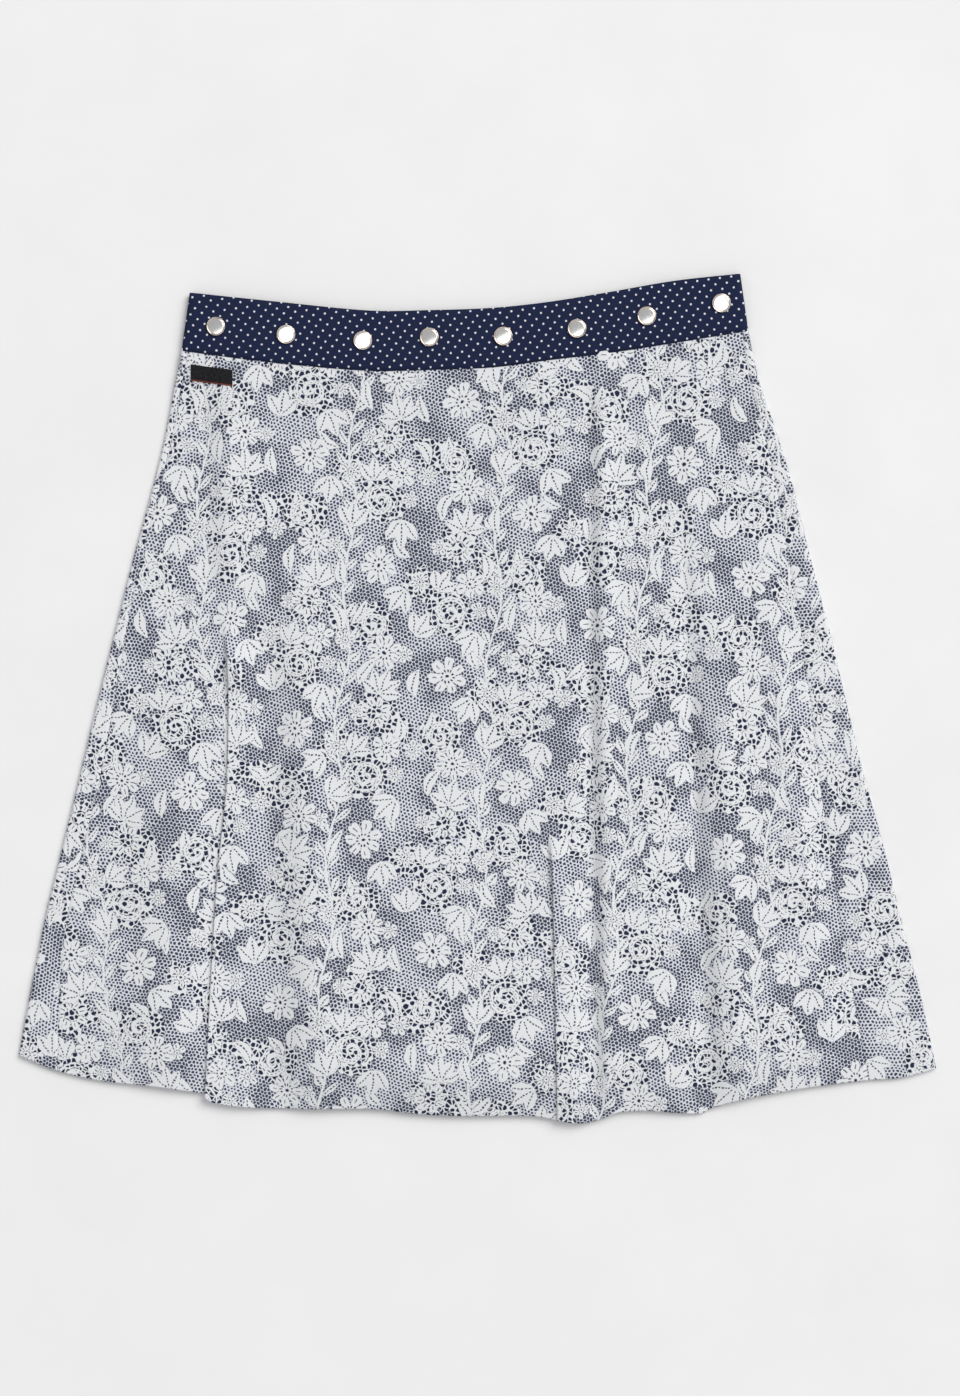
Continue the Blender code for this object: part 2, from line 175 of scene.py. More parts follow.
@dataclass(frozen=True)
class Fold:
    """A soft fold's line from waist to hem, and the height of the cloth on it.

    The four heights are at the shares of the length in Form.lift_places. A line with no place
    follows a side seam.
    """

    name: str
    waist_x: Union[float, None]
    hem_x: Union[float, None]
    heights: tuple[float, float, float, float]
    columns: int


@dataclass(frozen=True)
class KnifeFold:
    """A fold where the cloth on the right lies over the cloth on the left."""

    x: Curve
    overlap: Curve
    start: float
    full: float
    settle: float
    flat_steps: int
    columns: int


@dataclass(frozen=True)
class Crease:
    """A soft ridge, or with a negative height a trough, between two points of the front."""

    start: tuple[float, float]
    end: tuple[float, float]
    width: float
    height: float


@dataclass
class Form:
    """The skirt's sizes, and the surface that all its cloth follows."""

    solid_cloth: float = 1.0
    solid_band: float = 1.8
    gap: float = 0.3
    pleat_gap: float = 0.45
    back_stud_height: float = 1.2
    waist_ease: float = 0.11
    edge_lift: float = 1.4
    under_hem_sag: float = 26.0
    under_hem_ends: tuple[float, float] = (-256.7, -266.0)
    band_top_left: float = -207.0
    band_top_right: float = 189.0
    outer_end: tuple[float, float] = (32.0, 70.0)
    inner_end: tuple[float, float] = (-55.0, -95.0)
    step_clearance: float = 1.0
    step_run: float = 11.0
    turn_steps: int = 4
    edge_steps: int = 5
    seam_columns: int = 3
    under_columns: int = 6
    step_columns: int = 3
    band_columns: int = 26
    hem_droop: float = 0.95
    hem_droop_start: float = 0.935
    hem_droop_end: float = 1.025
    lift_places: tuple[float, ...] = (0.15, 0.40, 0.70, 0.93)
    rows: tuple[float, ...] = (
        0.0, 0.025, 0.05, 0.08, 0.12, 0.17, 0.22, 0.28, 0.335, 0.37, 0.395, 0.42, 0.445,
        0.48, 0.53, 0.58, 0.63, 0.68, 0.74, 0.80, 0.86, 0.91, 0.96, 0.99, 1.0,
    )
    band_rows: int = 3

    # down, left_x, right_x, left_seam, right_seam
    edges: tuple[tuple[float, ...], ...] = (
        (0.00, -212.8, 194.8, 5.0, 5.0),
        (0.06, -218.9, 201.6, 5.0, 6.5),
        (0.13, -225.9, 214.0, 5.0, 9.0),
        (0.20, -234.6, 225.5, 5.0, 11.5),
        (0.30, -248.4, 238.7, 5.5, 15.5),
        (0.40, -261.1, 252.6, 8.0, 20.0),
        (0.50, -273.7, 265.0, 11.5, 25.5),
        (0.60, -285.8, 277.8, 14.0, 32.0),
        (0.70, -298.2, 292.4, 14.0, 38.5),
        (0.80, -310.5, 305.2, 15.0, 43.5),
        (0.90, -320.7, 318.8, 20.0, 47.5),
        (1.00, -330.1, 330.1, 28.0, 49.0),
    )
    # across, lower_y, upper_y
    band: tuple[tuple[float, ...], ...] = (
        (0.00, 250.2, 291.4),
        (0.16, 241.8, 284.8),
        (0.33, 235.9, 278.4),
        (0.44, 236.5, 278.8),
        (0.55, 238.4, 280.4),
        (0.65, 243.6, 284.6),
        (0.76, 249.0, 291.6),
        (0.88, 256.6, 299.8),
        (1.00, 264.6, 305.0),
    )
    # across, y
    hem: Curve = Curve((
        (0.000, -256.7), (0.203, -287.6), (0.214, -290.5), (0.241, -293.4), (0.306, -294.8),
        (0.394, -295.2), (0.430, -298.2), (0.481, -299.9), (0.562, -300.1), (0.585, -302.8),
        (0.606, -304.9), (0.623, -304.3), (0.635, -302.0), (0.653, -297.4), (0.685, -296.3),
        (0.712, -297.5), (0.744, -298.4), (0.753, -295.0), (0.786, -288.4), (0.859, -279.7),
        (0.920, -274.7), (0.962, -272.5), (1.000, -266.0),
    ))
    hem_left: Curve = Curve((
        (0.000, -256.7), (0.045, -268.2), (0.094, -275.2), (0.143, -278.3), (0.197, -283.3),
        (0.252, -288.6),
    ))
    folds: tuple[Fold, ...] = (
        Fold("left_seam", None, None, (0.6, 1.0, 1.4, 1.4), 4),
        Fold("left_crest", -202.0, -226.0, (0.2, 0.8, 3.2, 5.0), 5),
        Fold("large_ridge", -176.0, -170.0, (3.4, 2.4, 0.6, 0.8), 5),
        Fold("plateau_left", -136.0, -101.0, (1.0, 3.2, 7.5, 11.0), 6),
        Fold("plateau_middle", -40.0, -22.0, (0.8, 3.0, 7.0, 10.0), 6),
        Fold("plateau_right", 52.0, 48.0, (0.8, 2.6, 5.4, 8.0), 0),
        Fold("narrow_ridge", 69.0, 67.5, (0.9, 2.6, 5.2, 7.2), 3),
        Fold("narrow_valley", 79.0, 82.5, (0.5, 1.9, 4.0, 5.6), 2),
        Fold("narrow_flank", 88.0, 94.0, (2.4, 4.8, 7.2, 8.8), 2),
        Fold("middle_ridge", 102.0, 118.0, (2.0, 4.2, 6.4, 7.8), 3),
        Fold("deep_ridge", 132.0, 157.0, (1.2, 3.0, 4.8, 5.6), 2),
        Fold("deep_valley", 139.0, 167.0, (1.0, 2.4, 3.4, 3.8), 2),
        Fold("deep_flank", 148.0, 181.0, (1.6, 4.4, 7.0, 8.4), 2),
        Fold("right_plateau", 157.0, 202.0, (1.4, 4.4, 7.6, 9.4), 4),
        Fold("right_shoulder", 178.0, 254.0, (1.0, 3.2, 5.4, 6.4), 4),
        Fold("right_seam", None, None, (0.6, 1.4, 2.0, 2.2), 0),
    )
    large: KnifeFold = KnifeFold(
        x=Curve(((0.0, -186.0), (0.40, -179.5), (0.57, -180.4), (0.71, -187.6), (1.0, -196.2))),
        overlap=Curve(
            ((0.0, 2.0), (0.40, 2.2), (0.49, 9.0), (0.57, 16.0), (0.67, 24.0), (1.0, 32.0))
        ),
        start=0.35,
        full=0.46,
        settle=28.0,
        flat_steps=4,
        columns=5,
    )
    small: KnifeFold = KnifeFold(
        x=Curve(((0.0, 60.0), (0.60, 53.4), (0.85, 55.5), (1.0, 57.0))),
        overlap=Curve(((0.0, 1.6), (0.66, 1.8), (0.80, 4.0), (1.0, 7.0))),
        start=0.60,
        full=0.72,
        settle=24.0,
        flat_steps=2,
        columns=2,
    )
    left_of_large: tuple[str, ...] = ("left_seam", "left_crest")
    between: tuple[str, ...] = ("large_ridge", "plateau_left", "plateau_middle")
    creases: tuple[Crease, ...] = (
        Crease((-196.0, 232.0), (-192.0, 60.0), 6.0, -1.0),
        Crease((-181.0, 232.0), (-177.0, 60.0), 7.0, 0.9),
        Crease((-152.0, 60.0), (-150.0, -320.0), 14.0, -3.0),
        Crease((-126.0, 80.0), (-116.0, -320.0), 16.0, 2.2),
        Crease((-208.0, 60.0), (-226.0, -320.0), 24.0, 3.0),
        Crease((78.0, 250.0), (82.0, -320.0), 6.0, -1.4),
        Crease((90.0, 256.0), (96.0, -320.0), 6.0, 1.8),
        Crease((151.0, 70.0), (160.0, -330.0), 8.0, -2.2),
        Crease((172.0, 60.0), (190.0, -330.0), 9.0, 2.2),
        Crease((-118.0, 236.0), (-110.0, 150.0), 6.0, 0.7),
        Crease((-70.0, 232.0), (-72.0, 170.0), 5.0, -0.5),
        Crease((-28.0, 232.0), (-22.0, 120.0), 7.0, 0.7),
        Crease((14.0, 234.0), (10.0, 180.0), 4.0, -0.4),
        Crease((40.0, 236.0), (44.0, 140.0), 6.0, 0.6),
        Crease((116.0, 244.0), (124.0, 150.0), 6.0, 0.8),
        Crease((172.0, 250.0), (190.0, 140.0), 6.0, -0.7),
        Crease((-60.0, 40.0), (-76.0, -120.0), 14.0, 0.9),
        Crease((6.0, 90.0), (12.0, -200.0), 12.0, -0.9),
        Crease((214.0, 60.0), (240.0, -180.0), 12.0, 0.9),
        Crease((-252.0, -60.0), (-276.0, -250.0), 10.0, -0.7),
    )

    def __post_init__(self) -> None:
        """Works out the levels at which the layers lie on each other."""
        step = self.solid_cloth + self.gap
        self.outer_level = self.solid_cloth / 2
        self.inner_level = self.outer_level + step
        self.front_level = self.inner_level + step
        band_step = self.solid_band + self.gap
        self.outer_band_level = self.back_stud_height + self.gap + self.solid_band / 2
        self.inner_band_level = self.outer_band_level + band_step
        self.front_band_level = self.inner_band_level + band_step
        self.turn_radius = (self.solid_cloth + self.pleat_gap) / 2

    def edge(self, column: int, down: float) -> float:
        """A column of the edge table at a share of the length."""
        return float(Curve(tuple((row[0], row[column]) for row in self.edges)).at(down))

    def edge_x(self, side: Side, down: float) -> float:
        """x of a side edge at a share of the length."""
        return self.edge(1 if side is Side.LEFT else 2, down)

    def seam_x(self, side: Side, down: float) -> float:
        """x of a side seam at a share of the length."""
        return self.edge_x(side, down) - side.value * self.edge(3 if side is Side.LEFT else 4, down)

    def across(self, x: Array, down: float) -> Array:
        """Share of the width from the left edge to the right one."""
        left, right = self.edge_x(Side.LEFT, down), self.edge_x(Side.RIGHT, down)
        return (x - left) / (right - left)

    def band_y(self, share: Array, upward: Union[float, Array]) -> Array:
        """y on the waistband: upward is 0 at its lower edge and 1 at its upper one."""
        lower = Curve(tuple((row[0], row[1]) for row in self.band)).at(share)
        upper = Curve(tuple((row[0], row[2]) for row in self.band)).at(share)
        return mix(lower, upper, upward)

    def front_y(self, x: Array, down: float, side: Union[float, Array] = 1.0) -> Array:
        """y of the front cloth: side is 0 left of the large knife fold and 1 right of it."""
        share = self.across(x, down)
        hem = mix(self.hem_left.at(share), self.hem.at(share), side)
        return mix(self.band_y(share, 0.0) - self.gap, hem, down)

    def under_y(self, x: Array, down: float) -> Array:
        """y of the cloth underneath, whose hem stays hidden behind the front one."""
        share = self.across(x, down)
        sag = self.under_hem_sag * 4.0 * share * (1.0 - share)
        hem = mix(self.under_hem_ends[0], self.under_hem_ends[1], share) - sag
        return mix(self.band_y(share, 0.0) - self.gap, hem, down)

    def level(self, band_level: float, flat_level: float, down: float) -> float:
        """Height of the cloth's middle as it comes down from the band to where it lies flat."""
        return float(mix(band_level, flat_level, ease(0.0, self.waist_ease, down)))

    def fold_lines(self, down: float) -> tuple[Array, Array]:
        """x and height of every soft fold's line at a share of the length."""
        places, lifts = [], []
        fall = float(ease(self.hem_droop_start, self.hem_droop_end, down))
        droop = 1.0 - self.hem_droop * fall
        for fold in self.folds:
            if fold.waist_x is None:
                side = Side.LEFT if fold.name.startswith("left") else Side.RIGHT
                places.append(self.seam_x(side, down))
            else:
                places.append(float(mix(fold.waist_x, fold.hem_x, down)))
            heights = tuple(zip(self.lift_places, fold.heights))
            curve = Curve(((0.0, 0.0), *heights, (1.0, fold.heights[-1])))
            lifts.append(float(curve.at(down)) * droop)
        return np.array(places), np.array(lifts)

    def lift(self, x: Array, down: float) -> Array:
        """Height that the soft folds add at x."""
        places, lifts = self.fold_lines(down)
        x = np.asarray(x, float)
        low = np.clip(np.searchsorted(places, x, side="left") - 1, 0, len(places) - 2)
        share = (x - places[low]) / (places[low + 1] - places[low])
        return mix(lifts[low], lifts[low + 1], ease(0.0, 1.0, share))

    def crease_lift(self, x: Array, y: Array) -> Array:
        """Height that the small creases add at each point of the front."""
        total = np.zeros(np.shape(x))
        for crease in self.creases:
            start, end = np.array(crease.start), np.array(crease.end)
            way = end - start
            length = float(np.hypot(*way))
            way /= length
            along = ((x - start[0]) * way[0] + (y - start[1]) * way[1]) / length
            aside = (x - start[0]) * way[1] - (y - start[1]) * way[0]
            ends = ease(-0.15, 0.25, along) * (1.0 - ease(0.75, 1.15, along))
            total += crease.height * ends * np.exp(-((aside / crease.width) ** 2))
        return total

    def knife_path(self, fold: KnifeFold, down: float, times: int) -> Array:
        """Centre line (x, z) of a knife fold's section, from level cloth to level cloth.

        The heading rises from 0 to the fold's angle, holds it over the overlap and falls back
        to 0, so that at half a turn the cloth goes back over itself and then on again on top.

        Args:
            fold: the knife fold.
            down: share of the length.
            times: how many small steps replace one of the part's own.

        Returns:
            One row for each point.
        """
        angle = math.pi * float(ease(fold.start, fold.full, down))
        turns = self.turn_steps * times
        flats = fold.flat_steps * times
        bend = angle * (np.arange(turns) + 0.5) / turns
        headings = np.concatenate([bend, np.full(flats, angle), bend[::-1]])
        lengths = np.full(len(headings), math.pi * self.turn_radius / turns)
        lengths[turns : turns + flats] = float(fold.overlap.at(down)) / flats
        steps = np.stack([lengths * np.cos(headings), lengths * np.sin(headings)], axis=1)
        path = np.concatenate([[[0.0, 0.0]], np.cumsum(steps, axis=0)])
        turned = self.solid_cloth / 2 * float(ease(0.0, math.pi, angle))
        path[:, 0] += float(fold.x.at(down)) + turned - path[turns + flats + turns // 2, 0]
        return path

    def wrap_end(self, side: Side, down: float) -> float:
        """x of a wrap's free end on the underside."""
        ends = self.outer_end if side is Side.LEFT else self.inner_end
        return float(mix(ends[0], ends[1], down))

    def around_edge(self, side: Side, top: float, under: float, thickness: float, x: float,
                    times: int) -> Array:
        """Points (x, z) of the half turn round a side edge, from the top layer to the bottom."""
        radius = (top - under) / 2
        centre = x - side.value * (radius + thickness / 2)
        turns = np.linspace(0.0, math.pi, self.edge_steps * times + 1)
        return np.stack(
            [centre + side.value * radius * np.sin(turns), (top + under) / 2 + radius * np.cos(turns)],
            axis=1,
        )

    def under_run(self, side: Side, down: float, start: float, times: int) -> tuple[Array, Array]:
        """Places along the underside, and 1 where the wrap lies on the other one there."""
        end = self.wrap_end(side, down)
        if side is Side.LEFT:
            x = run([start, end], [self.under_columns * times])[1:]
            return x, np.zeros(len(x))
        top = self.wrap_end(Side.LEFT, down) + self.step_clearance
        foot = top + self.step_run
        half = self.under_columns // 2 * times
        x = run([start, foot, top, end], [half, self.step_columns * times, half])[1:]
        return x, 1.0 - ease(top, foot, x)


# ---------------------------------------------------------------------------------------------
# Meshes
# ---------------------------------------------------------------------------------------------


def grid_mesh(name: str, points: Array, uv: Array) -> bpy.types.Mesh:
    """A sheet whose grid of points is moved to its place.

    Args:
        name: the mesh's name.
        points: places in millimetres, indexed by row and column.
        uv: cloth coordinates in millimetres, indexed alike.

    Returns:
        The open sheet, facing up, with its UV map named cloth.
    """
    rows, columns = points.shape[:2]
    bm = bmesh.new()
    bmesh.ops.create_grid(bm, x_segments=columns - 1, y_segments=rows - 1, size=1.0)
    layer = bm.loops.layers.uv.new("cloth")
    flat, laid = points.reshape(-1, 3) * MM, uv.reshape(-1, 2) * MM
    bm.verts.ensure_lookup_table()
    for vertex, place in zip(bm.verts, flat):
        vertex.co = place
    for face in bm.faces:
        for loop in face.loops:
            loop[layer].uv = laid[loop.vert.index]
    mesh = bpy.data.meshes.new(name)
    bm.to_mesh(mesh)
    bm.free()
    mesh.shade_smooth()
    return mesh


def flatten(points: Array, rounds: int = 14) -> Array:
    """Lays a curved sheet flat with as little stretch as can be.

    Each round turns every point's neighbourhood rigidly to fit the last result and then finds
    the places that agree best with all of them.

    Args:
        points: places on the sheet, indexed by row and column.
        rounds: how often the result is improved.

    Returns:
        Places in the plane, indexed alike.
    """
    rows, columns = points.shape[:2]
    index = np.arange(rows * columns).reshape(rows, columns)
    cell = {
        "down": (index[:-1, :], index[1:, :]),
        "along": (index[:, :-1], index[:, 1:]),
        "fall": (index[:-1, :-1], index[1:, 1:]),
        "rise": (index[1:, :-1], index[:-1, 1:]),
    }
    first = np.concatenate([pair[0].ravel() for pair in cell.values()])
    second = np.concatenate([pair[1].ravel() for pair in cell.values()])
    place = points.reshape(-1, 3)
    gap = place[second] - place[first]
    length = np.linalg.norm(gap, axis=1)
    weight = 1.0 / length

    # Each point's own flat frame: along the row, and across it in the surface.
    along = np.gradient(points, axis=1).reshape(-1, 3)
    along /= np.linalg.norm(along, axis=1, keepdims=True)
    across = -np.gradient(points, axis=0).reshape(-1, 3)
    across -= (across * along).sum(axis=1, keepdims=True) * along
    across /= np.linalg.norm(across, axis=1, keepdims=True)

    def in_frame(at: Array) -> Array:
        local = np.stack([(gap * along[at]).sum(axis=1), (gap * across[at]).sum(axis=1)], axis=1)
        size = np.linalg.norm(local, axis=1, keepdims=True)
        return local * (length[:, None] / np.maximum(size, 1e-9))

    rest = (in_frame(first), in_frame(second))
    count = len(place)
    matrix = np.zeros((count, count))
    np.add.at(matrix, (first, second), -weight)
    np.add.at(matrix, (second, first), -weight)
    matrix[np.arange(count), np.arange(count)] = -matrix.sum(axis=1)
    matrix[0, 0] += 1.0
    inverse = np.linalg.inv(matrix)

    steps = np.linalg.norm(np.diff(points, axis=1), axis=2)
    u = np.concatenate([np.zeros((rows, 1)), np.cumsum(steps, axis=1)], axis=1)
    u -= u[:, [columns // 2]]
    flat = np.stack([u.ravel(), points[:, :, 1].ravel()], axis=1)
    for _ in range(rounds):
        edge = flat[second] - flat[first]
        spun = []
        for at, local in zip((first, second), rest):
            dot = np.zeros(count)
            cross = np.zeros(count)
            np.add.at(dot, at, weight * (local * edge).sum(axis=1))
            np.add.at(cross, at, weight * (local[:, 0] * edge[:, 1] - local[:, 1] * edge[:, 0]))
            spun.append((dot, cross))
        angle = np.arctan2(spun[0][1] + spun[1][1], spun[0][0] + spun[1][0])
        wanted = np.zeros_like(edge)
        for at, local in zip((first, second), rest):
            c, s = np.cos(angle[at]), np.sin(angle[at])
            wanted[:, 0] += 0.5 * (c * local[:, 0] - s * local[:, 1])
            wanted[:, 1] += 0.5 * (s * local[:, 0] + c * local[:, 1])
        pull = np.zeros((count, 2))
        np.add.at(pull, second, weight[:, None] * wanted)
        np.add.at(pull, first, -weight[:, None] * wanted)
        flat = inverse @ pull
    middle = index[rows // 2, columns // 2]
    return (flat - flat[middle]).reshape(rows, columns, 2)


def place_piece(name: str, mesh: bpy.types.Mesh, material: bpy.types.Material, slot: Slot,
                replaced: Sequence[str]) -> bpy.types.Object:
    """Puts a finished mesh in the scene, on its body and with its finish.

    Args:
        name: the piece's name.
        mesh: its mesh, already in place.
        material: its finish.
        slot: the record's slot for that finish; not used.
        replaced: CAD nodes that it stands for.

    Returns:
        The object.
    """
    mesh.materials.clear()
    mesh.materials.append(material)
    piece = bpy.data.objects.new(name, mesh)
    bpy.context.scene.collection.objects.link(piece)
    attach(piece, BODY)
    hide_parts(*replaced)
    LOG.info("%s: %d faces", name, len(mesh.polygons))
    return piece


def thicken(piece: bpy.types.Object, thickness: float) -> None:
    """Gives an open sheet its thickness to both sides, in millimetres."""
    wall = piece.modifiers.new("cloth", "SOLIDIFY")
    wall.thickness = thickness * MM
    wall.offset = 0.0


# ---------------------------------------------------------------------------------------------
# Shader nodes
# ---------------------------------------------------------------------------------------------


@dataclass
class Graph:
    """Adds nodes to a tree, each joined to its inputs as it is made."""

    tree: bpy.types.NodeTree

    def add(self, kind: str, inputs: Sequence[Value] = (), **settings: object) -> bpy.types.Node:
        """Adds a node.

        Args:
            kind: its type, without the common prefix.
            inputs: values or sockets for its inputs in order, None to leave one alone.
            settings: its own properties.

        Returns:
            The node.
        """
        node = self.tree.nodes.new("ShaderNode" + kind)
        for key, value in settings.items():
            setattr(node, key, value)
        for socket, value in zip(node.inputs, inputs):
            self.join(value, socket)
        return node

    def join(self, value: Value, socket: bpy.types.NodeSocket) -> None:
        """Links a socket to an input, or sets the input's value."""
        if isinstance(value, bpy.types.NodeSocket):
            self.tree.links.new(value, socket)
        elif value is not None:
            socket.default_value = value

    def math(self, operation: str, *values: Value, clamp: bool = False) -> bpy.types.NodeSocket:
        """Result of a Math node, held between 0 and 1 if clamp is set."""
        result = self.add("Math", values, operation=operation).outputs[0]
        return self.add("Clamp", (result,)).outputs[0] if clamp else result

    def vector(self, operation: str, *values: Value) -> bpy.types.NodeSocket:
        """Result of a Vector Math node that gives a vector."""
        return self.add("VectorMath", values, operation=operation).outputs["Vector"]

    def dot(self, vector: Value, row: tuple[float, float, float]) -> bpy.types.NodeSocket:
        """Dot product of a vector with a fixed row."""
        return self.add("VectorMath", (vector, row), operation="DOT_PRODUCT").outputs["Value"]

    def split(self, vector: Value) -> tuple[bpy.types.NodeSocket, bpy.types.NodeSocket]:
        """x and y of a vector."""
        node = self.add("SeparateXYZ", (vector,))
        return node.outputs[0], node.outputs[1]

    def join_xyz(self, x: Value, y: Value, z: Value = 0.0) -> bpy.types.NodeSocket:
        """A vector from its parts."""
        return self.add("CombineXYZ", (x, y, z)).outputs[0]

    def inside(self, reach: Value, softness: float) -> bpy.types.NodeSocket:
        """1 where reach is above 0 and 0 below, over a short ramp."""
        return self.math("MULTIPLY_ADD", reach, 1.0 / softness, 0.5, clamp=True)

    def scaled(self, value: Value, low: float, high: float, to_low: float, to_high: float,
               smooth: bool = False) -> bpy.types.NodeSocket:
        """A value moved from one range to another, held at its ends."""
        kind = "SMOOTHSTEP" if smooth else "LINEAR"
        node = self.add("MapRange", (value, low, high, to_low, to_high), interpolation_type=kind)
        return node.outputs[0]

    def blend(self, share: Value, first: Value, second: Value) -> bpy.types.NodeSocket:
        """Mix of two colours."""
        node = self.tree.nodes.new("ShaderNodeMix")
        node.data_type = "RGBA"
        for place, value in ((0, share), (6, first), (7, second)):
            self.join(value, node.inputs[place])
        return node.outputs[2]

    def noise(self, vector: Value, scale: float, detail: float = 2.0,
              roughness: float = 0.5) -> bpy.types.NodeSocket:
        """Height of a noise."""
        node = self.add("TexNoise", noise_dimensions="3D")
        self.join(vector, node.inputs["Vector"])
        node.inputs["Scale"].default_value = scale
        node.inputs["Detail"].default_value = detail
        node.inputs["Roughness"].default_value = roughness
        return node.outputs["Fac"]

    def chance(self, number: Value) -> bpy.types.NodeSocket:
        """A random value from 0 to 1, the same for the same number."""
        return self.add("TexWhiteNoise", (None, number), noise_dimensions="1D").outputs["Value"]

    def use(self, group: bpy.types.NodeTree, **inputs: Value) -> bpy.types.Node:
        """Places a node group and joins its inputs by name."""
        node = self.tree.nodes.new("ShaderNodeGroup")
        node.node_tree = group
        for name, value in inputs.items():
            self.join(value, node.inputs[name])
        return node


class Group(Graph):
    """A node group being built, with its inputs and outputs."""

    def __init__(self, name: str, inputs: dict[str, Value], outputs: dict[str, str]) -> None:
        """Makes the group's sockets.

        Args:
            name: the group's name.
            inputs: each input's name and first value, a tuple for a vector.
            outputs: each output's name and socket type.
        """
        super().__init__(bpy.data.node_groups.new(name, "ShaderNodeTree"))
        for label, value in inputs.items():
            kind = "NodeSocketVector" if isinstance(value, tuple) else "NodeSocketFloat"
            socket = self.tree.interface.new_socket(label, in_out="INPUT", socket_type=kind)
            socket.default_value = value
        for label, kind in outputs.items():
            self.tree.interface.new_socket(label, in_out="OUTPUT", socket_type=kind)
        self.source = self.tree.nodes.new("NodeGroupInput").outputs
        self.sink = self.tree.nodes.new("NodeGroupOutput")

    def give(self, **results: Value) -> bpy.types.NodeTree:
        """Joins the group's outputs and returns its tree."""
        for label, value in results.items():
            self.join(value, self.sink.inputs[label])
        return self.tree


def material(name: str) -> tuple[bpy.types.Material, Graph, bpy.types.Node]:
    """A new Principled material.

    Args:
        name: the material's name.

    Returns:
        The material, its graph and its shader node.
    """
    made = bpy.data.materials.new(name)
    made.use_nodes = True
    return made, Graph(made.node_tree), made.node_tree.nodes["Principled BSDF"]


# ---------------------------------------------------------------------------------------------
# Lace print
# ---------------------------------------------------------------------------------------------


class Shape(Enum):
    """Kinds of printed motif."""

    FLOWER = "flower"
    WHEEL = "wheel"
    SPRAY = "spray"
    LEAF = "leaf"
    SCROLL = "scroll"


@dataclass(frozen=True)
class Motif:
    """One motif of the repeat.

    Its place is across and along a column of the print, turn and swing are the middle and the
    reach of its angle in degrees, and sizes are the values that its shape takes by name.
    """

    shape: Shape
    place: tuple[float, float]
    turn: float
    swing: float
    sizes: dict[str, float]
    celled: bool = False


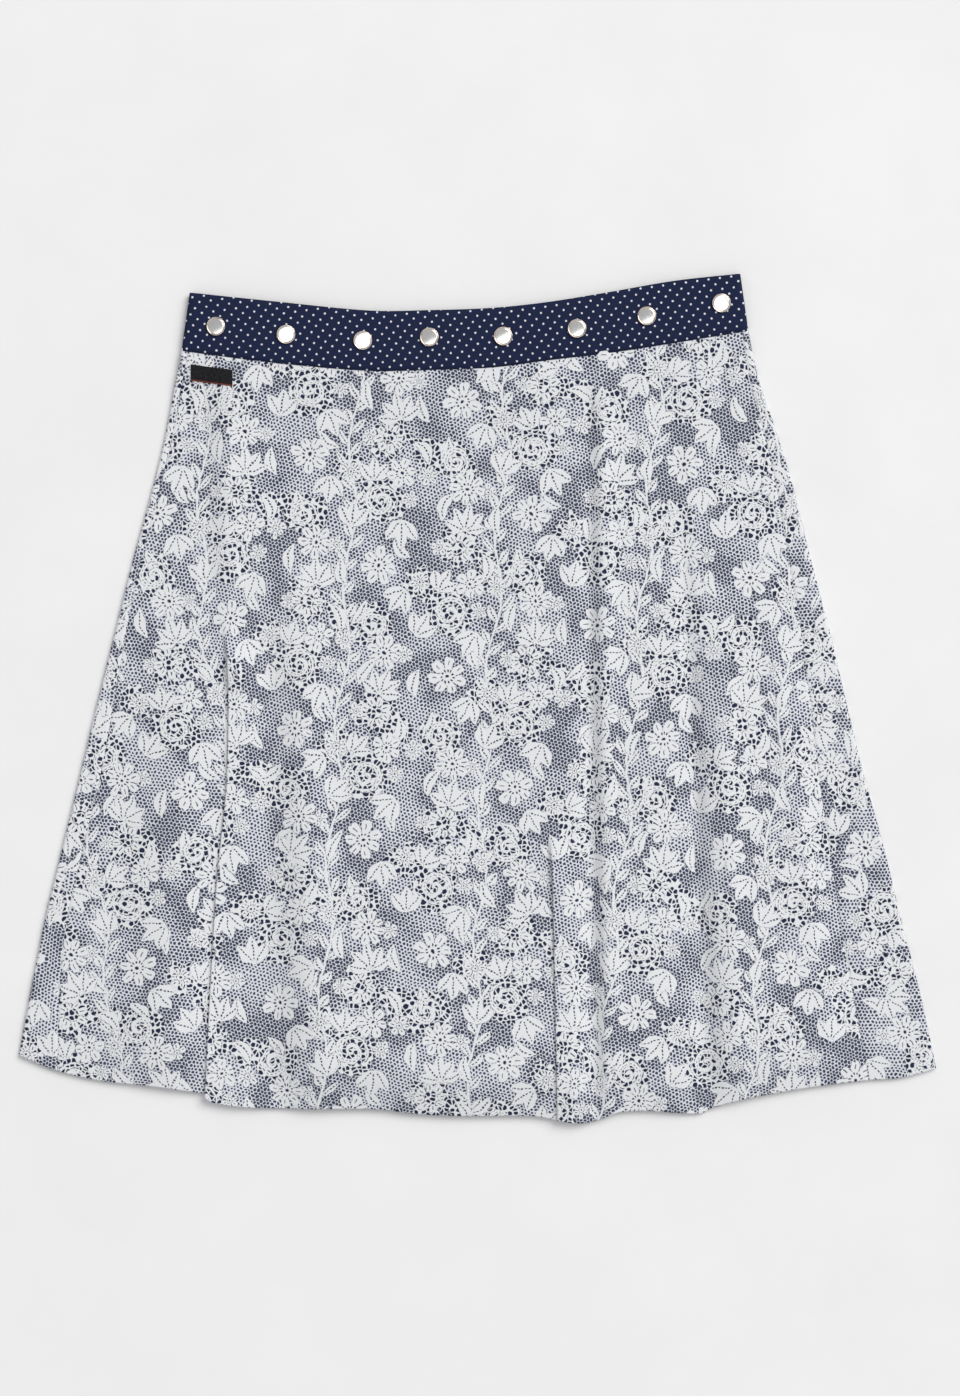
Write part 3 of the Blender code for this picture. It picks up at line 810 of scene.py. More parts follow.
@dataclass(frozen=True)
class LacePrint:
    """A white lace of flowers, leaves, scrolls and vines printed on navy.

    The repeat has upright columns between two vines; each column starts a step higher than the
    one on its right. Lengths are in millimetres.
    """

    column: float = 53.8
    repeat: float = 197.7
    column_step: float = 77.3
    lean: float = math.radians(3.8)
    edge_softness: float = 0.42
    outline: float = 0.42
    net_pitch: float = 2.7
    net_thread: float = 0.90
    net_hole: float = 0.04
    net_angle: float = math.radians(10.0)
    net_closed: float = 0.32
    net_open: float = -0.80
    cell_pitch: float = 3.7
    cell_thread: float = 0.42
    cell_radius: float = 1.70
    cell_reach: float = 5.5
    cell_spread: float = 18.0
    wobble: float = 2.6
    stem: float = 0.85
    stem_wave: float = 4.0
    bare_depth: float = 60.0
    vine_leaf: float = 16.475
    motifs: tuple[Motif, ...] = (
        Motif(Shape.LEAF, (17.0, 22.0), -20.0, 40.0, {"Length": 19.0, "Width": 3.8, "Bend": 3.4}),
        Motif(Shape.LEAF, (15.0, 106.0), 165.0, 50.0, {"Length": 21.0, "Width": 4.3, "Bend": 4.4}, True),
        Motif(Shape.LEAF, (-15.0, 127.0), 10.0, 50.0, {"Length": 22.0, "Width": 4.2, "Bend": 3.4}),
        Motif(Shape.LEAF, (-14.0, 188.0), 185.0, 50.0, {"Length": 20.0, "Width": 3.9, "Bend": 2.8}),
        Motif(Shape.FLOWER, (15.0, 64.0), 0.0, 180.0, {"Radius": 6.6, "Petals": 6.0}),
        Motif(Shape.FLOWER, (-16.0, 108.0), 0.0, 180.0, {"Radius": 6.2, "Petals": 5.0}),
        Motif(Shape.FLOWER, (17.0, 150.0), 0.0, 180.0, {"Radius": 6.4, "Petals": 5.0}),
        Motif(Shape.LEAF, (26.0, 120.0), -8.0, 30.0, {"Length": 21.0, "Width": 4.2, "Bend": 3.2}),
        Motif(Shape.FLOWER, (27.0, 82.0), 0.0, 180.0, {"Radius": 7.6, "Petals": 6.0}),
        Motif(Shape.FLOWER, (25.0, 5.0), 0.0, 180.0, {"Radius": 8.2, "Petals": 7.0}, True),
        Motif(Shape.SPRAY, (28.0, 172.0), 10.0, 40.0,
              {"Step": 0.64, "Half": 1.0, "Length": 20.0, "Width": 4.4}),
        Motif(Shape.SPRAY, (10.0, 40.0), 200.0, 50.0,
              {"Step": 0.66, "Half": 1.0, "Length": 21.0, "Width": 4.6}),
        Motif(Shape.SPRAY, (-12.0, 84.0), 20.0, 50.0,
              {"Step": 0.68, "Half": 1.0, "Length": 18.0, "Width": 4.1}),
        Motif(Shape.SPRAY, (10.0, 190.0), 190.0, 50.0,
              {"Step": 0.64, "Half": 1.0, "Length": 20.0, "Width": 4.4}),
        Motif(Shape.SCROLL, (-6.0, 62.0), 0.0, 180.0, {"Radius": 12.0, "Pitch": 6.6}, True),
        Motif(Shape.SCROLL, (-8.0, 170.0), 0.0, 180.0, {"Radius": 10.5, "Pitch": 6.0}, True),
        Motif(Shape.WHEEL, (-2.0, 108.0), 0.0, 180.0,
              {"Radius": 12.0, "Petals": 8.0, "Hollow": 5.0}, True),
        Motif(Shape.SPRAY, (3.0, 130.0), 0.0, 40.0,
              {"Step": 0.62, "Half": 2.0, "Length": 21.0, "Width": 4.0}),
        Motif(Shape.FLOWER, (8.0, 83.0), 0.0, 180.0, {"Radius": 11.5, "Petals": 6.0}),
        Motif(Shape.FLOWER, (2.0, 151.0), 0.0, 180.0, {"Radius": 13.5, "Petals": 8.0}),
        Motif(Shape.FLOWER, (-5.0, 16.0), 0.0, 180.0, {"Radius": 14.5, "Petals": 7.0}),
    )

    def place_group(self) -> bpy.types.NodeTree:
        """Coordinates about the nearest copy of a motif, turned by its own chance angle.

        Only numbers are used here and in the motifs, as vectors would keep too many values
        waiting at once for the renderer.
        """
        g = Group(
            "print_place",
            {"Step": 0.0, "Climb": 0.0, "OffsetStep": 0.0, "OffsetClimb": 0.0, "Turn": 0.0,
             "Swing": 0.0},
            {"X": "NodeSocketFloat", "Y": "NodeSocketFloat"},
        )
        step = g.math("SUBTRACT", g.source["Step"], g.source["OffsetStep"])
        climb = g.math("SUBTRACT", g.source["Climb"], g.source["OffsetClimb"])
        step_cell, climb_cell = g.math("ROUND", step), g.math("ROUND", climb)
        chance = g.chance(g.math("MULTIPLY_ADD", step_cell, 61.0, g.math("MULTIPLY", climb_cell, 7.0)))
        spread = g.math("MULTIPLY_ADD", chance, 2.0, -1.0)
        angle = g.math("MULTIPLY_ADD", spread, g.source["Swing"], g.source["Turn"])
        step, climb = g.math("SUBTRACT", step, step_cell), g.math("SUBTRACT", climb, climb_cell)
        x = g.math("MULTIPLY", step, -self.column)
        y = g.math("MULTIPLY_ADD", step, self.column_step, g.math("MULTIPLY", climb, self.repeat))
        c, s = g.math("COSINE", angle), g.math("SINE", angle)
        turned_x = g.math("SUBTRACT", g.math("MULTIPLY", x, c), g.math("MULTIPLY", y, s))
        turned_y = g.math("MULTIPLY_ADD", y, c, g.math("MULTIPLY", x, s))
        return g.give(X=turned_x, Y=turned_y)

    def leaf_group(self) -> bpy.types.NodeTree:
        """A bent leaf with a dashed vein, its foot at the origin and its tip along Y."""
        g = Group(
            "print_leaf",
            {"X": 0.0, "Y": 0.0, "Length": 16.0, "Width": 3.0, "Bend": 0.0},
            {"Reach": "NodeSocketFloat", "Light": "NodeSocketFloat"},
        )
        share = g.math("DIVIDE", g.source["Y"], g.source["Length"])
        middle = g.math("MULTIPLY_ADD", share, 2.0, -1.0)
        lens = g.math("SUBTRACT", 1.0, g.math("MULTIPLY", middle, middle))
        aside = g.math("ABSOLUTE", g.math("MULTIPLY_ADD", lens, g.source["Bend"], g.source["X"]))
        reach = g.math("SUBTRACT", g.math("MULTIPLY", lens, g.source["Width"]), aside)
        dash = g.math("FRACT", g.math("MULTIPLY", g.source["Y"], 0.42))
        dashed = g.inside(g.math("SUBTRACT", dash, 0.38), 0.2)
        line = g.inside(g.math("SUBTRACT", 0.44, aside), self.edge_softness)
        kept = g.inside(g.math("SUBTRACT", lens, 0.42), 0.1)
        dark = g.math("MULTIPLY", g.math("MULTIPLY", dashed, line), kept)
        return g.give(Reach=reach, Light=g.math("SUBTRACT", 1.0, dark))

    def polar_group(self) -> bpy.types.NodeTree:
        """Distance from the origin, and the angle from Y."""
        g = Group(
            "print_polar",
            {"X": 0.0, "Y": 0.0},
            {"Radius": "NodeSocketFloat", "Angle": "NodeSocketFloat"},
        )
        x, y = g.source["X"], g.source["Y"]
        radius = g.math("SQRT", g.math("MULTIPLY_ADD", x, x, g.math("MULTIPLY", y, y)))
        return g.give(Radius=radius, Angle=g.math("ARCTAN2", x, y))

    def spray_group(self, polar: bpy.types.NodeTree, leaf: bpy.types.NodeTree
                    ) -> bpy.types.NodeTree:
        """Leaves spread like a hand from the origin."""
        g = Group(
            "print_spray",
            {"X": 0.0, "Y": 0.0, "Step": 0.6, "Half": 2.0, "Length": 16.0, "Width": 3.0},
            {"Reach": "NodeSocketFloat", "Light": "NodeSocketFloat"},
        )
        lowered = g.math("ADD", g.source["Y"], g.math("MULTIPLY", g.source["Length"], 0.45))
        at = g.use(polar, X=g.source["X"], Y=lowered).outputs
        number = g.math("ROUND", g.math("DIVIDE", at["Angle"], g.source["Step"]))
        low = g.math("MULTIPLY", g.source["Half"], -1.0)
        number = g.math("MINIMUM", g.math("MAXIMUM", number, low), g.source["Half"])
        angle = g.math("SUBTRACT", at["Angle"], g.math("MULTIPLY", number, g.source["Step"]))
        x = g.math("MULTIPLY", at["Radius"], g.math("SINE", angle))
        y = g.math("MULTIPLY", at["Radius"], g.math("COSINE", angle))
        shorter = g.math("MULTIPLY_ADD", g.math("ABSOLUTE", number), -0.11, 1.0)
        length = g.math("MULTIPLY", g.source["Length"], shorter)
        blade = g.use(leaf, X=x, Y=y, Length=length, Width=g.source["Width"], Bend=0.0).outputs
        return g.give(Reach=blade["Reach"], Light=blade["Light"])

    def flower_group(self, polar: bpy.types.NodeTree, hollow: bool) -> bpy.types.NodeTree:
        """Round petals parted by fine gaps, with a beaded eye or, if hollow, an open one."""
        inputs = {"X": 0.0, "Y": 0.0, "Radius": 12.0, "Petals": 8.0}
        if hollow:
            inputs["Hollow"] = 5.0
        g = Group(
            "print_wheel" if hollow else "print_flower",
            inputs,
            {"Reach": "NodeSocketFloat", "Light": "NodeSocketFloat"},
        )
        at = g.use(polar, X=g.source["X"], Y=g.source["Y"]).outputs
        turns = g.math("MULTIPLY", at["Angle"], 0.5 / math.pi)
        petal = g.math("FRACT", g.math("MULTIPLY", turns, g.source["Petals"]))
        aside = g.math("ABSOLUTE", g.math("SUBTRACT", petal, 0.5))
        lobe = g.math("SUBTRACT", aside, 0.11)
        lobe = g.math("MULTIPLY", lobe, lobe)
        number = g.math("FLOOR", g.math("MULTIPLY", turns, g.source["Petals"]))
        chance = g.chance(number)
        size = g.math("MULTIPLY_ADD", chance, -0.16, 1.0)
        size = g.math("MULTIPLY", size, g.source["Radius"])
        tip = g.math("MULTIPLY", size, g.math("MULTIPLY_ADD", lobe, -3.9, 1.0))
        reach = g.math("SUBTRACT", tip, at["Radius"])
        if hollow:
            reach = g.math("MINIMUM", reach, g.math("SUBTRACT", at["Radius"], g.source["Hollow"]))
        arc = g.math("DIVIDE", g.math("MULTIPLY", at["Radius"], 2.0 * math.pi), g.source["Petals"])
        to_gap = g.math("MULTIPLY", g.math("SUBTRACT", 0.5, aside), arc)
        share = g.math("DIVIDE", at["Radius"], g.source["Radius"])
        gap = g.inside(g.math("SUBTRACT", 0.30, to_gap), self.edge_softness)
        outer = g.inside(g.math("SUBTRACT", share, 0.42), 0.06)
        dark = g.math("MULTIPLY", gap, outer)
        to_middle = g.math("MULTIPLY", aside, arc)
        stroke = g.inside(g.math("SUBTRACT", 0.30, to_middle), self.edge_softness)
        band = g.math("ABSOLUTE", g.math("SUBTRACT", share, 0.66))
        dark = g.math(
            "MAXIMUM",
            dark,
            g.math("MULTIPLY", stroke, g.inside(g.math("SUBTRACT", 0.12, band), 0.05)),
        )
        if not hollow:
            beads = g.math("COSINE", g.math("MULTIPLY", at["Angle"], 11.0))
            beads = g.inside(g.math("SUBTRACT", beads, 0.1), 0.5)
            ring = g.math("ABSOLUTE", g.math("SUBTRACT", share, 0.30))
            ringed = g.inside(g.math("SUBTRACT", 0.055, ring), 0.05)
            eye = g.inside(g.math("SUBTRACT", 0.09, share), 0.05)
            dark = g.math("MAXIMUM", dark, g.math("MULTIPLY", beads, ringed))
            dark = g.math("MAXIMUM", dark, eye)
        return g.give(Reach=reach, Light=g.math("SUBTRACT", 1.0, dark))

    def scroll_group(self, polar: bpy.types.NodeTree) -> bpy.types.NodeTree:
        """A cord wound into a spiral that thickens outwards."""
        g = Group(
            "print_scroll",
            {"X": 0.0, "Y": 0.0, "Radius": 12.0, "Pitch": 6.0},
            {"Reach": "NodeSocketFloat", "Light": "NodeSocketFloat"},
        )
        at = g.use(polar, X=g.source["X"], Y=g.source["Y"]).outputs
        turns = g.math("MULTIPLY", at["Angle"], 0.5 / math.pi)
        wound = g.math("SUBTRACT", g.math("DIVIDE", at["Radius"], g.source["Pitch"]), turns)
        aside = g.math("ABSOLUTE", g.math("SUBTRACT", g.math("FRACT", wound), 0.5))
        width = g.math("MULTIPLY_ADD", at["Radius"], 0.09, 0.9)
        aside = g.math("MULTIPLY", aside, g.source["Pitch"])
        reach = g.math("SUBTRACT", width, aside)
        reach = g.math("MINIMUM", reach, g.math("SUBTRACT", g.source["Radius"], at["Radius"]))
        dash = g.math("SINE", g.math("MULTIPLY", at["Angle"], 17.0))
        dashed = g.inside(dash, 0.6)
        line = g.inside(g.math("SUBTRACT", 0.24, aside), self.edge_softness)
        far = g.inside(g.math("SUBTRACT", at["Radius"], 6.0), 0.5)
        dark = g.math("MULTIPLY", g.math("MULTIPLY", line, dashed), far)
        return g.give(Reach=reach, Light=g.math("SUBTRACT", 1.0, dark))

    def vine_group(self, leaf: bpy.types.NodeTree) -> bpy.types.NodeTree:
        """Waving stems between the columns, with leaves that part to both sides in turn."""
        g = Group(
            "print_vine",
            {"Across": 0.0, "Along": 0.0, "Column": 0.0},
            {"Reach": "NodeSocketFloat", "Light": "NodeSocketFloat"},
        )
        wave = g.math("SINE", g.math("MULTIPLY", g.source["Along"], 4.0 * math.pi / self.repeat))
        x = g.math("MULTIPLY_ADD", wave, self.stem_wave, g.source["Across"])
        wide = g.math("ABSOLUTE", x)
        steps = g.math("MULTIPLY", g.source["Along"], 1.0 / self.vine_leaf)
        side = g.math("SIGN", x)
        steps = g.math("MULTIPLY_ADD", side, 0.25, steps)
        number = g.math("MULTIPLY_ADD", g.math("FLOOR", steps), 3.0, side)
        chance = g.chance(g.math("MULTIPLY_ADD", g.source["Column"], 67.0, number))
        y = g.math("MULTIPLY_ADD", g.math("FRACT", steps), self.vine_leaf, -3.2)
        tilt = math.radians(36.0)
        lean_x = g.math("MULTIPLY", wide, math.cos(tilt))
        lean_x = g.math("MULTIPLY_ADD", y, -math.sin(tilt), lean_x)
        lean_y = g.math("MULTIPLY", wide, math.sin(tilt))
        lean_y = g.math("MULTIPLY_ADD", y, math.cos(tilt), lean_y)
        length = g.math("MULTIPLY_ADD", chance, 5.5, 11.5)
        width = g.math("MULTIPLY_ADD", chance, -0.7, 3.1)
        blade = g.use(leaf, X=lean_x, Y=lean_y, Length=length, Width=width, Bend=-0.8).outputs
        stem = g.math("SUBTRACT", self.stem, wide)
        reach = g.math("MAXIMUM", blade["Reach"], stem)
        return g.give(Reach=reach, Light=blade["Light"])

    def group(self) -> bpy.types.NodeTree:
        """The whole print.

        Returns:
            A group that takes cloth coordinates in metres and gives 1 where the print is white
            and 0 where it is navy, and 1 on fine net.
        """
        polar = self.polar_group()
        leaf = self.leaf_group()
        place = self.place_group()
        shapes = {
            Shape.LEAF: leaf,
            Shape.SPRAY: self.spray_group(polar, leaf),
            Shape.FLOWER: self.flower_group(polar, hollow=False),
            Shape.WHEEL: self.flower_group(polar, hollow=True),
            Shape.SCROLL: self.scroll_group(polar),
        }
        g = Group(
            "lace_print",
            {"Cloth": (0.0, 0.0, 0.0)},
            {"Thread": "NodeSocketFloat", "Net": "NodeSocketFloat"},
        )
        spots = g.vector("SCALE", g.source["Cloth"])
        spots.node.inputs["Scale"].default_value = 1.0 / MM
        shake = g.add("TexNoise", noise_dimensions="2D")
        g.join(spots, shake.inputs["Vector"])
        shake.inputs["Scale"].default_value = 0.16
        shake.inputs["Detail"].default_value = 1.0
        shaken = g.vector("SUBTRACT", shake.outputs["Color"], (0.5, 0.5, 0.5))
        point = g.add("VectorMath", (shaken, (self.wobble,) * 3, spots), operation="MULTIPLY_ADD")
        point = point.outputs["Vector"]
        c, s = math.cos(self.lean), math.sin(self.lean)
        across, along = g.dot(point, (c, -s, 0.0)), g.dot(point, (s, c, 0.0))
        step = g.math("MULTIPLY", across, -1.0 / self.column)
        climb = g.math("MULTIPLY_ADD", step, -self.column_step, along)
        climb = g.math("MULTIPLY", climb, 1.0 / self.repeat)

        # Vines stand half a column away from the motifs' centre line.
        columns = g.math("ADD", step, 0.5)
        low = g.math("FLOOR", columns)
        beside = g.math("SUBTRACT", g.math("SUBTRACT", columns, low), 0.5)
        vine_x = g.math("MULTIPLY", beside, -self.column)
        vine_y = g.math("MULTIPLY_ADD", low, -self.column_step, along)
        grown = g.use(self.vine_group(leaf), Across=vine_x, Along=vine_y, Column=low).outputs
        # Every second vine is left out.
        odd = g.math("FRACT", g.math("MULTIPLY", low, 0.5))
        vine = g.math("MULTIPLY_ADD", odd, -self.bare_depth, grown["Reach"])
        tone = g.math("MULTIPLY", g.inside(vine, self.edge_softness), grown["Light"])
        frayed = g.noise(spots, 0.55, 1.0)
        margin = g.scaled(frayed, 0.42, 0.58, -0.25, self.outline)
        clear = self.beyond(g, vine, margin)
        near: Value = -30.0
        for motif in self.motifs:
            # The vines stand on whole columns, so the motifs between them are half a one away.
            x, y = motif.place
            columns_off = 0.5 - x / self.column
            at = g.use(
                place,
                Step=step,
                Climb=climb,
                OffsetStep=columns_off,
                OffsetClimb=(y - columns_off * self.column_step) / self.repeat,
                Turn=math.radians(motif.turn),
                Swing=math.radians(motif.swing),
            ).outputs
            drawn = g.use(shapes[motif.shape], X=at["X"], Y=at["Y"], **motif.sizes).outputs
            shown = g.math("MULTIPLY", g.inside(drawn["Reach"], self.edge_softness), drawn["Light"])
            beyond = self.beyond(g, drawn["Reach"], margin)
            tone = g.math("MULTIPLY_ADD", tone, beyond, shown)
            clear = g.math("MULTIPLY", clear, beyond)
            if motif.celled:
                near = g.math("MAXIMUM", near, drawn["Reach"])
        ground, fine = self.ground(g, point, near)
        thread = g.math("MULTIPLY_ADD", clear, ground, tone, clamp=True)
        return g.give(Thread=thread, Net=g.math("MULTIPLY", clear, fine))

    def beyond(self, g: Graph, reach: Value, margin: Value) -> bpy.types.NodeSocket:
        """1 outside a motif and its dark outline, which is as wide as margin."""
        wider = g.math("ADD", reach, margin)
        return g.math("MULTIPLY_ADD", wider, -1.0 / self.edge_softness, 0.5, clamp=True)

    def ground(self, g: Graph, point: Value, near: Value
               ) -> tuple[bpy.types.NodeSocket, bpy.types.NodeSocket]:
        """Net between the motifs.

        Args:
            g: the graph.
            point: place on the cloth.
            near: how far inside the closest motif with cells round it the place is.

        Returns:
            1 on a thread and 0 in a hole, and 1 on fine net and 0 on the large cells that
            stand near some motifs.
        """
        wave = 2.0 * math.pi / (self.net_pitch * math.sqrt(3.0) / 2.0)
        total: Value = 0.0
        for third in range(3):
            angle = self.net_angle + third * math.pi / 3.0
            row = (wave * math.cos(angle), wave * math.sin(angle), 0.0)
            total = g.math("ADD", g.math("COSINE", g.dot(point, row)), total)
        patches = g.noise(point, 0.028, 1.0)
        openness = g.scaled(patches, 0.40, 0.58, self.net_closed, self.net_open)
        hole = g.inside(g.math("SUBTRACT", total, openness), 0.9)
        net = g.math("MULTIPLY_ADD", hole, self.net_hole - self.net_thread, self.net_thread)
        cells = g.add("TexVoronoi", voronoi_dimensions="2D", feature="DISTANCE_TO_EDGE")
        g.join(point, cells.inputs["Vector"])
        middles = g.add("TexVoronoi", voronoi_dimensions="2D", feature="F1")
        g.join(point, middles.inputs["Vector"])
        for texture in (cells, middles):
            texture.inputs["Scale"].default_value = 1.0 / self.cell_pitch
            texture.inputs["Randomness"].default_value = 0.85
        wide = g.math("MULTIPLY_ADD", cells.outputs["Distance"], self.cell_pitch, -self.cell_thread)
        round_off = g.math(
            "MULTIPLY_ADD", middles.outputs["Distance"], -self.cell_pitch, self.cell_radius
        )
        cell = g.inside(g.math("MINIMUM", wide, round_off), 0.35)
        loose = g.noise(point, 0.045, 2.0)
        spread = g.math(
            "MULTIPLY_ADD", loose, self.cell_spread, self.cell_reach - self.cell_spread / 2
        )
        large = g.inside(g.math("ADD", near, spread), 1.0)
        threads = g.math("SUBTRACT", 1.0, cell)
        thread = g.math("MULTIPLY_ADD", g.math("SUBTRACT", threads, net), large, net)
        return thread, g.math("SUBTRACT", 1.0, large)


# ---------------------------------------------------------------------------------------------
# Finishes
# ---------------------------------------------------------------------------------------------


def weave_group() -> bpy.types.NodeTree:
    """Plain weave with uneven yarns.

    Returns:
        A group that takes cloth coordinates in metres and a pitch in millimetres, and gives the
        height of the yarns and a mottle that changes slowly, both from 0 to 1.
    """
    g = Group(
        "weave",
        {"Cloth": (0.0, 0.0, 0.0), "Pitch": 0.45},
        {"Height": "NodeSocketFloat", "Mottle": "NodeSocketFloat"},
    )
    turns = g.math("DIVIDE", math.pi / MM, g.source["Pitch"])
    scaled = g.vector("SCALE", g.source["Cloth"])
    g.join(turns, scaled.node.inputs["Scale"])
    u, v = g.split(scaled)
    warp, weft = g.math("SINE", u), g.math("SINE", v)
    crossing = g.math("MULTIPLY", warp, weft)
    height = g.math("MULTIPLY_ADD", crossing, 0.5, 0.5)
    slub = g.noise(g.vector("MULTIPLY", scaled, (0.12, 1.0, 1.0)), 0.5, 2.0, 0.6)
    height = g.math("MULTIPLY_ADD", slub, 0.5, g.math("MULTIPLY", height, 0.5))
    mottle = g.noise(scaled, 0.08, 4.0, 0.65)
    return g.give(Height=height, Mottle=mottle)


@dataclass(frozen=True)
class LaceFinish:
    """White lace print on navy cotton."""

    print: LacePrint = LacePrint()
    navy: tuple[float, ...] = (0.018, 0.025, 0.058, 1.0)
    white: tuple[float, ...] = (0.780, 0.794, 0.814, 1.0)
    net_white: tuple[float, ...] = (0.760, 0.784, 0.848, 1.0)
    roughness: float = 0.9
    gloss: float = 0.12
    yarn: float = 0.4
    relief: float = 0.06

    def build(self, weave: bpy.types.NodeTree) -> bpy.types.Material:
        """Makes the material.

        Args:
            weave: the shared weave group.

        Returns:
            The material, which reads the UV map named cloth.
        """
        made, g, shader = material(Slot.LACE.value)
        cloth = g.add("UVMap", uv_map="cloth").outputs["UV"]
        printed = g.use(self.print.group(), Cloth=cloth).outputs
        woven = g.use(weave, Cloth=cloth, Pitch=self.yarn).outputs
        shade = g.scaled(woven["Mottle"], 0.3, 0.7, 0.90, 1.0)
        light = g.math("MULTIPLY", printed["Thread"], shade)
        white = g.blend(printed["Net"], self.white, self.net_white)
        g.join(g.blend(light, self.navy, white), shader.inputs["Base Color"])
        g.join(self.roughness, shader.inputs["Roughness"])
        shader.inputs["Specular IOR Level"].default_value = self.gloss
        bump = g.add("Bump", (0.5, self.relief * MM))
        g.join(woven["Height"], bump.inputs["Height"])
        g.join(bump.outputs[0], shader.inputs["Normal"])
        return made


@dataclass(frozen=True)
class SpottedFinish:
    """White pin dots printed on navy cotton, on a slanting square grid."""

    navy: tuple[float, ...] = (0.0120, 0.0180, 0.052, 1.0)
    white: tuple[float, ...] = (0.78, 0.80, 0.83, 1.0)
    first: tuple[float, float] = (4.97, -3.38)
    second: tuple[float, float] = (-3.17, -4.46)
    dot_radius: float = 0.71
    softness: float = 0.30
    roughness: float = 0.85
    gloss: float = 0.12
    yarn: float = 0.42
    relief: float = 0.06

    def build(self, weave: bpy.types.NodeTree) -> bpy.types.Material:
        """Makes the material, which reads the UV map named cloth."""
        made, g, shader = material(Slot.BAND.value)
        cloth = g.add("UVMap", uv_map="cloth").outputs["UV"]
        basis = np.array([self.first, self.second]).T * MM
        inverse = np.linalg.inv(basis)
        cell = g.join_xyz(g.dot(cloth, (*inverse[0], 0.0)), g.dot(cloth, (*inverse[1], 0.0)))
        within = g.vector("SUBTRACT", g.vector("FRACTION", cell), (0.5, 0.5, 0.0))
        to_mm = basis / MM
        flat = g.join_xyz(g.dot(within, (*to_mm[0], 0.0)), g.dot(within, (*to_mm[1], 0.0)))
        distance = g.add("VectorMath", (flat,), operation="LENGTH").outputs["Value"]
        woven = g.use(weave, Cloth=cloth, Pitch=self.yarn).outputs
        ragged = g.scaled(woven["Mottle"], 0.3, 0.7, -0.14, 0.14)
        reach = g.math("SUBTRACT", g.math("ADD", ragged, self.dot_radius), distance)
        spot = g.inside(reach, self.softness)
        shade = g.scaled(woven["Mottle"], 0.3, 0.7, 0.8, 1.0)
        g.join(
            g.blend(g.math("MULTIPLY", spot, shade), self.navy, self.white),
            shader.inputs["Base Color"],
        )
        g.join(self.roughness, shader.inputs["Roughness"])
        shader.inputs["Specular IOR Level"].default_value = self.gloss
        bump = g.add("Bump", (0.5, self.relief * MM))
        g.join(woven["Height"], bump.inputs["Height"])
        g.join(bump.outputs[0], shader.inputs["Normal"])
        return made


@dataclass(frozen=True)
class SteelFinish:
    """Turned and polished press-stud caps with fine rings and a few scuffs, and a darker brown rim that
    is painted shade round each cap's edge.
    """

    bright: tuple[float, ...] = (0.86, 0.85, 0.83, 1.0)
    dull: tuple[float, ...] = (0.70, 0.675, 0.64, 1.0)
    # The rim's darker brown is painted shade: it stands for the shadow round the cap's edge.
    rim: tuple[float, ...] = (0.66, 0.56, 0.48, 1.0)
    shade_ring_radius: float = 5.8
    ring_pitch: float = 0.22
    ring_relief: float = 0.0008

    def build(self) -> bpy.types.Material:
        """Makes the material, which reads the UV map named disc."""
        made, g, shader = material(Slot.STEEL.value)
        disc = g.add("UVMap", uv_map="disc").outputs["UV"]
        spot = g.vector("SCALE", disc)
        spot.node.inputs["Scale"].default_value = 1.0 / MM
        radius = g.add("VectorMath", (spot,), operation="LENGTH").outputs["Value"]
        rings = g.math("SINE", g.math("MULTIPLY", radius, 2.0 * math.pi / self.ring_pitch))
        place = g.add("TexCoord").outputs["Object"]
        scuffs = g.noise(place, 900.0, 4.0, 0.7)
        worn = g.scaled(scuffs, 0.52, 0.72, 0.0, 1.0, smooth=True)
        face = g.blend(worn, self.bright, self.dull)
        # Painted shade: past this radius the cap takes the darker brown rim colour, which stands for the
        # shadow round its edge.
        outer = g.inside(g.math("SUBTRACT", radius, self.shade_ring_radius), 0.5)
        g.join(g.blend(outer, face, self.rim), shader.inputs["Base Color"])
        shader.inputs["Metallic"].default_value = 1.0
        g.join(g.scaled(scuffs, 0.35, 0.75, 0.10, 0.24), shader.inputs["Roughness"])
        bump = g.add("Bump", (0.5, self.ring_relief * MM))
        g.join(rings, bump.inputs["Height"])
        g.join(bump.outputs[0], shader.inputs["Normal"])
        return made


@dataclass(frozen=True)
class TapeFinish:
    """Black woven label tape with a russet selvedge along its lower edge."""

    black: tuple[float, ...] = (0.006, 0.006, 0.008, 1.0)
    worn: tuple[float, ...] = (0.019, 0.018, 0.020, 1.0)
    russet: tuple[float, ...] = (0.16, 0.035, 0.022, 1.0)
    selvedge: float = 0.9
    width: float = 11.5
    roughness: float = 0.72
    gloss: float = 0.15
    yarn: float = 0.5
    relief: float = 0.10

    def build(self, weave: bpy.types.NodeTree) -> bpy.types.Material:
        """Makes the material, which reads the UV map named cloth."""
        made, g, shader = material(Slot.TAPE.value)
        cloth = g.add("UVMap", uv_map="cloth").outputs["UV"]
        woven = g.use(weave, Cloth=cloth, Pitch=self.yarn).outputs
        tape = g.blend(g.scaled(woven["Mottle"], 0.4, 0.7, 0.0, 1.0), self.black, self.worn)
        _, v = g.split(cloth)
        low = g.math("SUBTRACT", (self.selvedge - self.width) * MM, v)
        edge = g.math("MULTIPLY_ADD", low, 1.0 / (0.3 * MM), 0.5, clamp=True)
        g.join(g.blend(edge, tape, self.russet), shader.inputs["Base Color"])
        g.join(self.roughness, shader.inputs["Roughness"])
        shader.inputs["Specular IOR Level"].default_value = self.gloss
        bump = g.add("Bump", (0.7, self.relief * MM))
        g.join(woven["Height"], bump.inputs["Height"])
        g.join(bump.outputs[0], shader.inputs["Normal"])
        return made


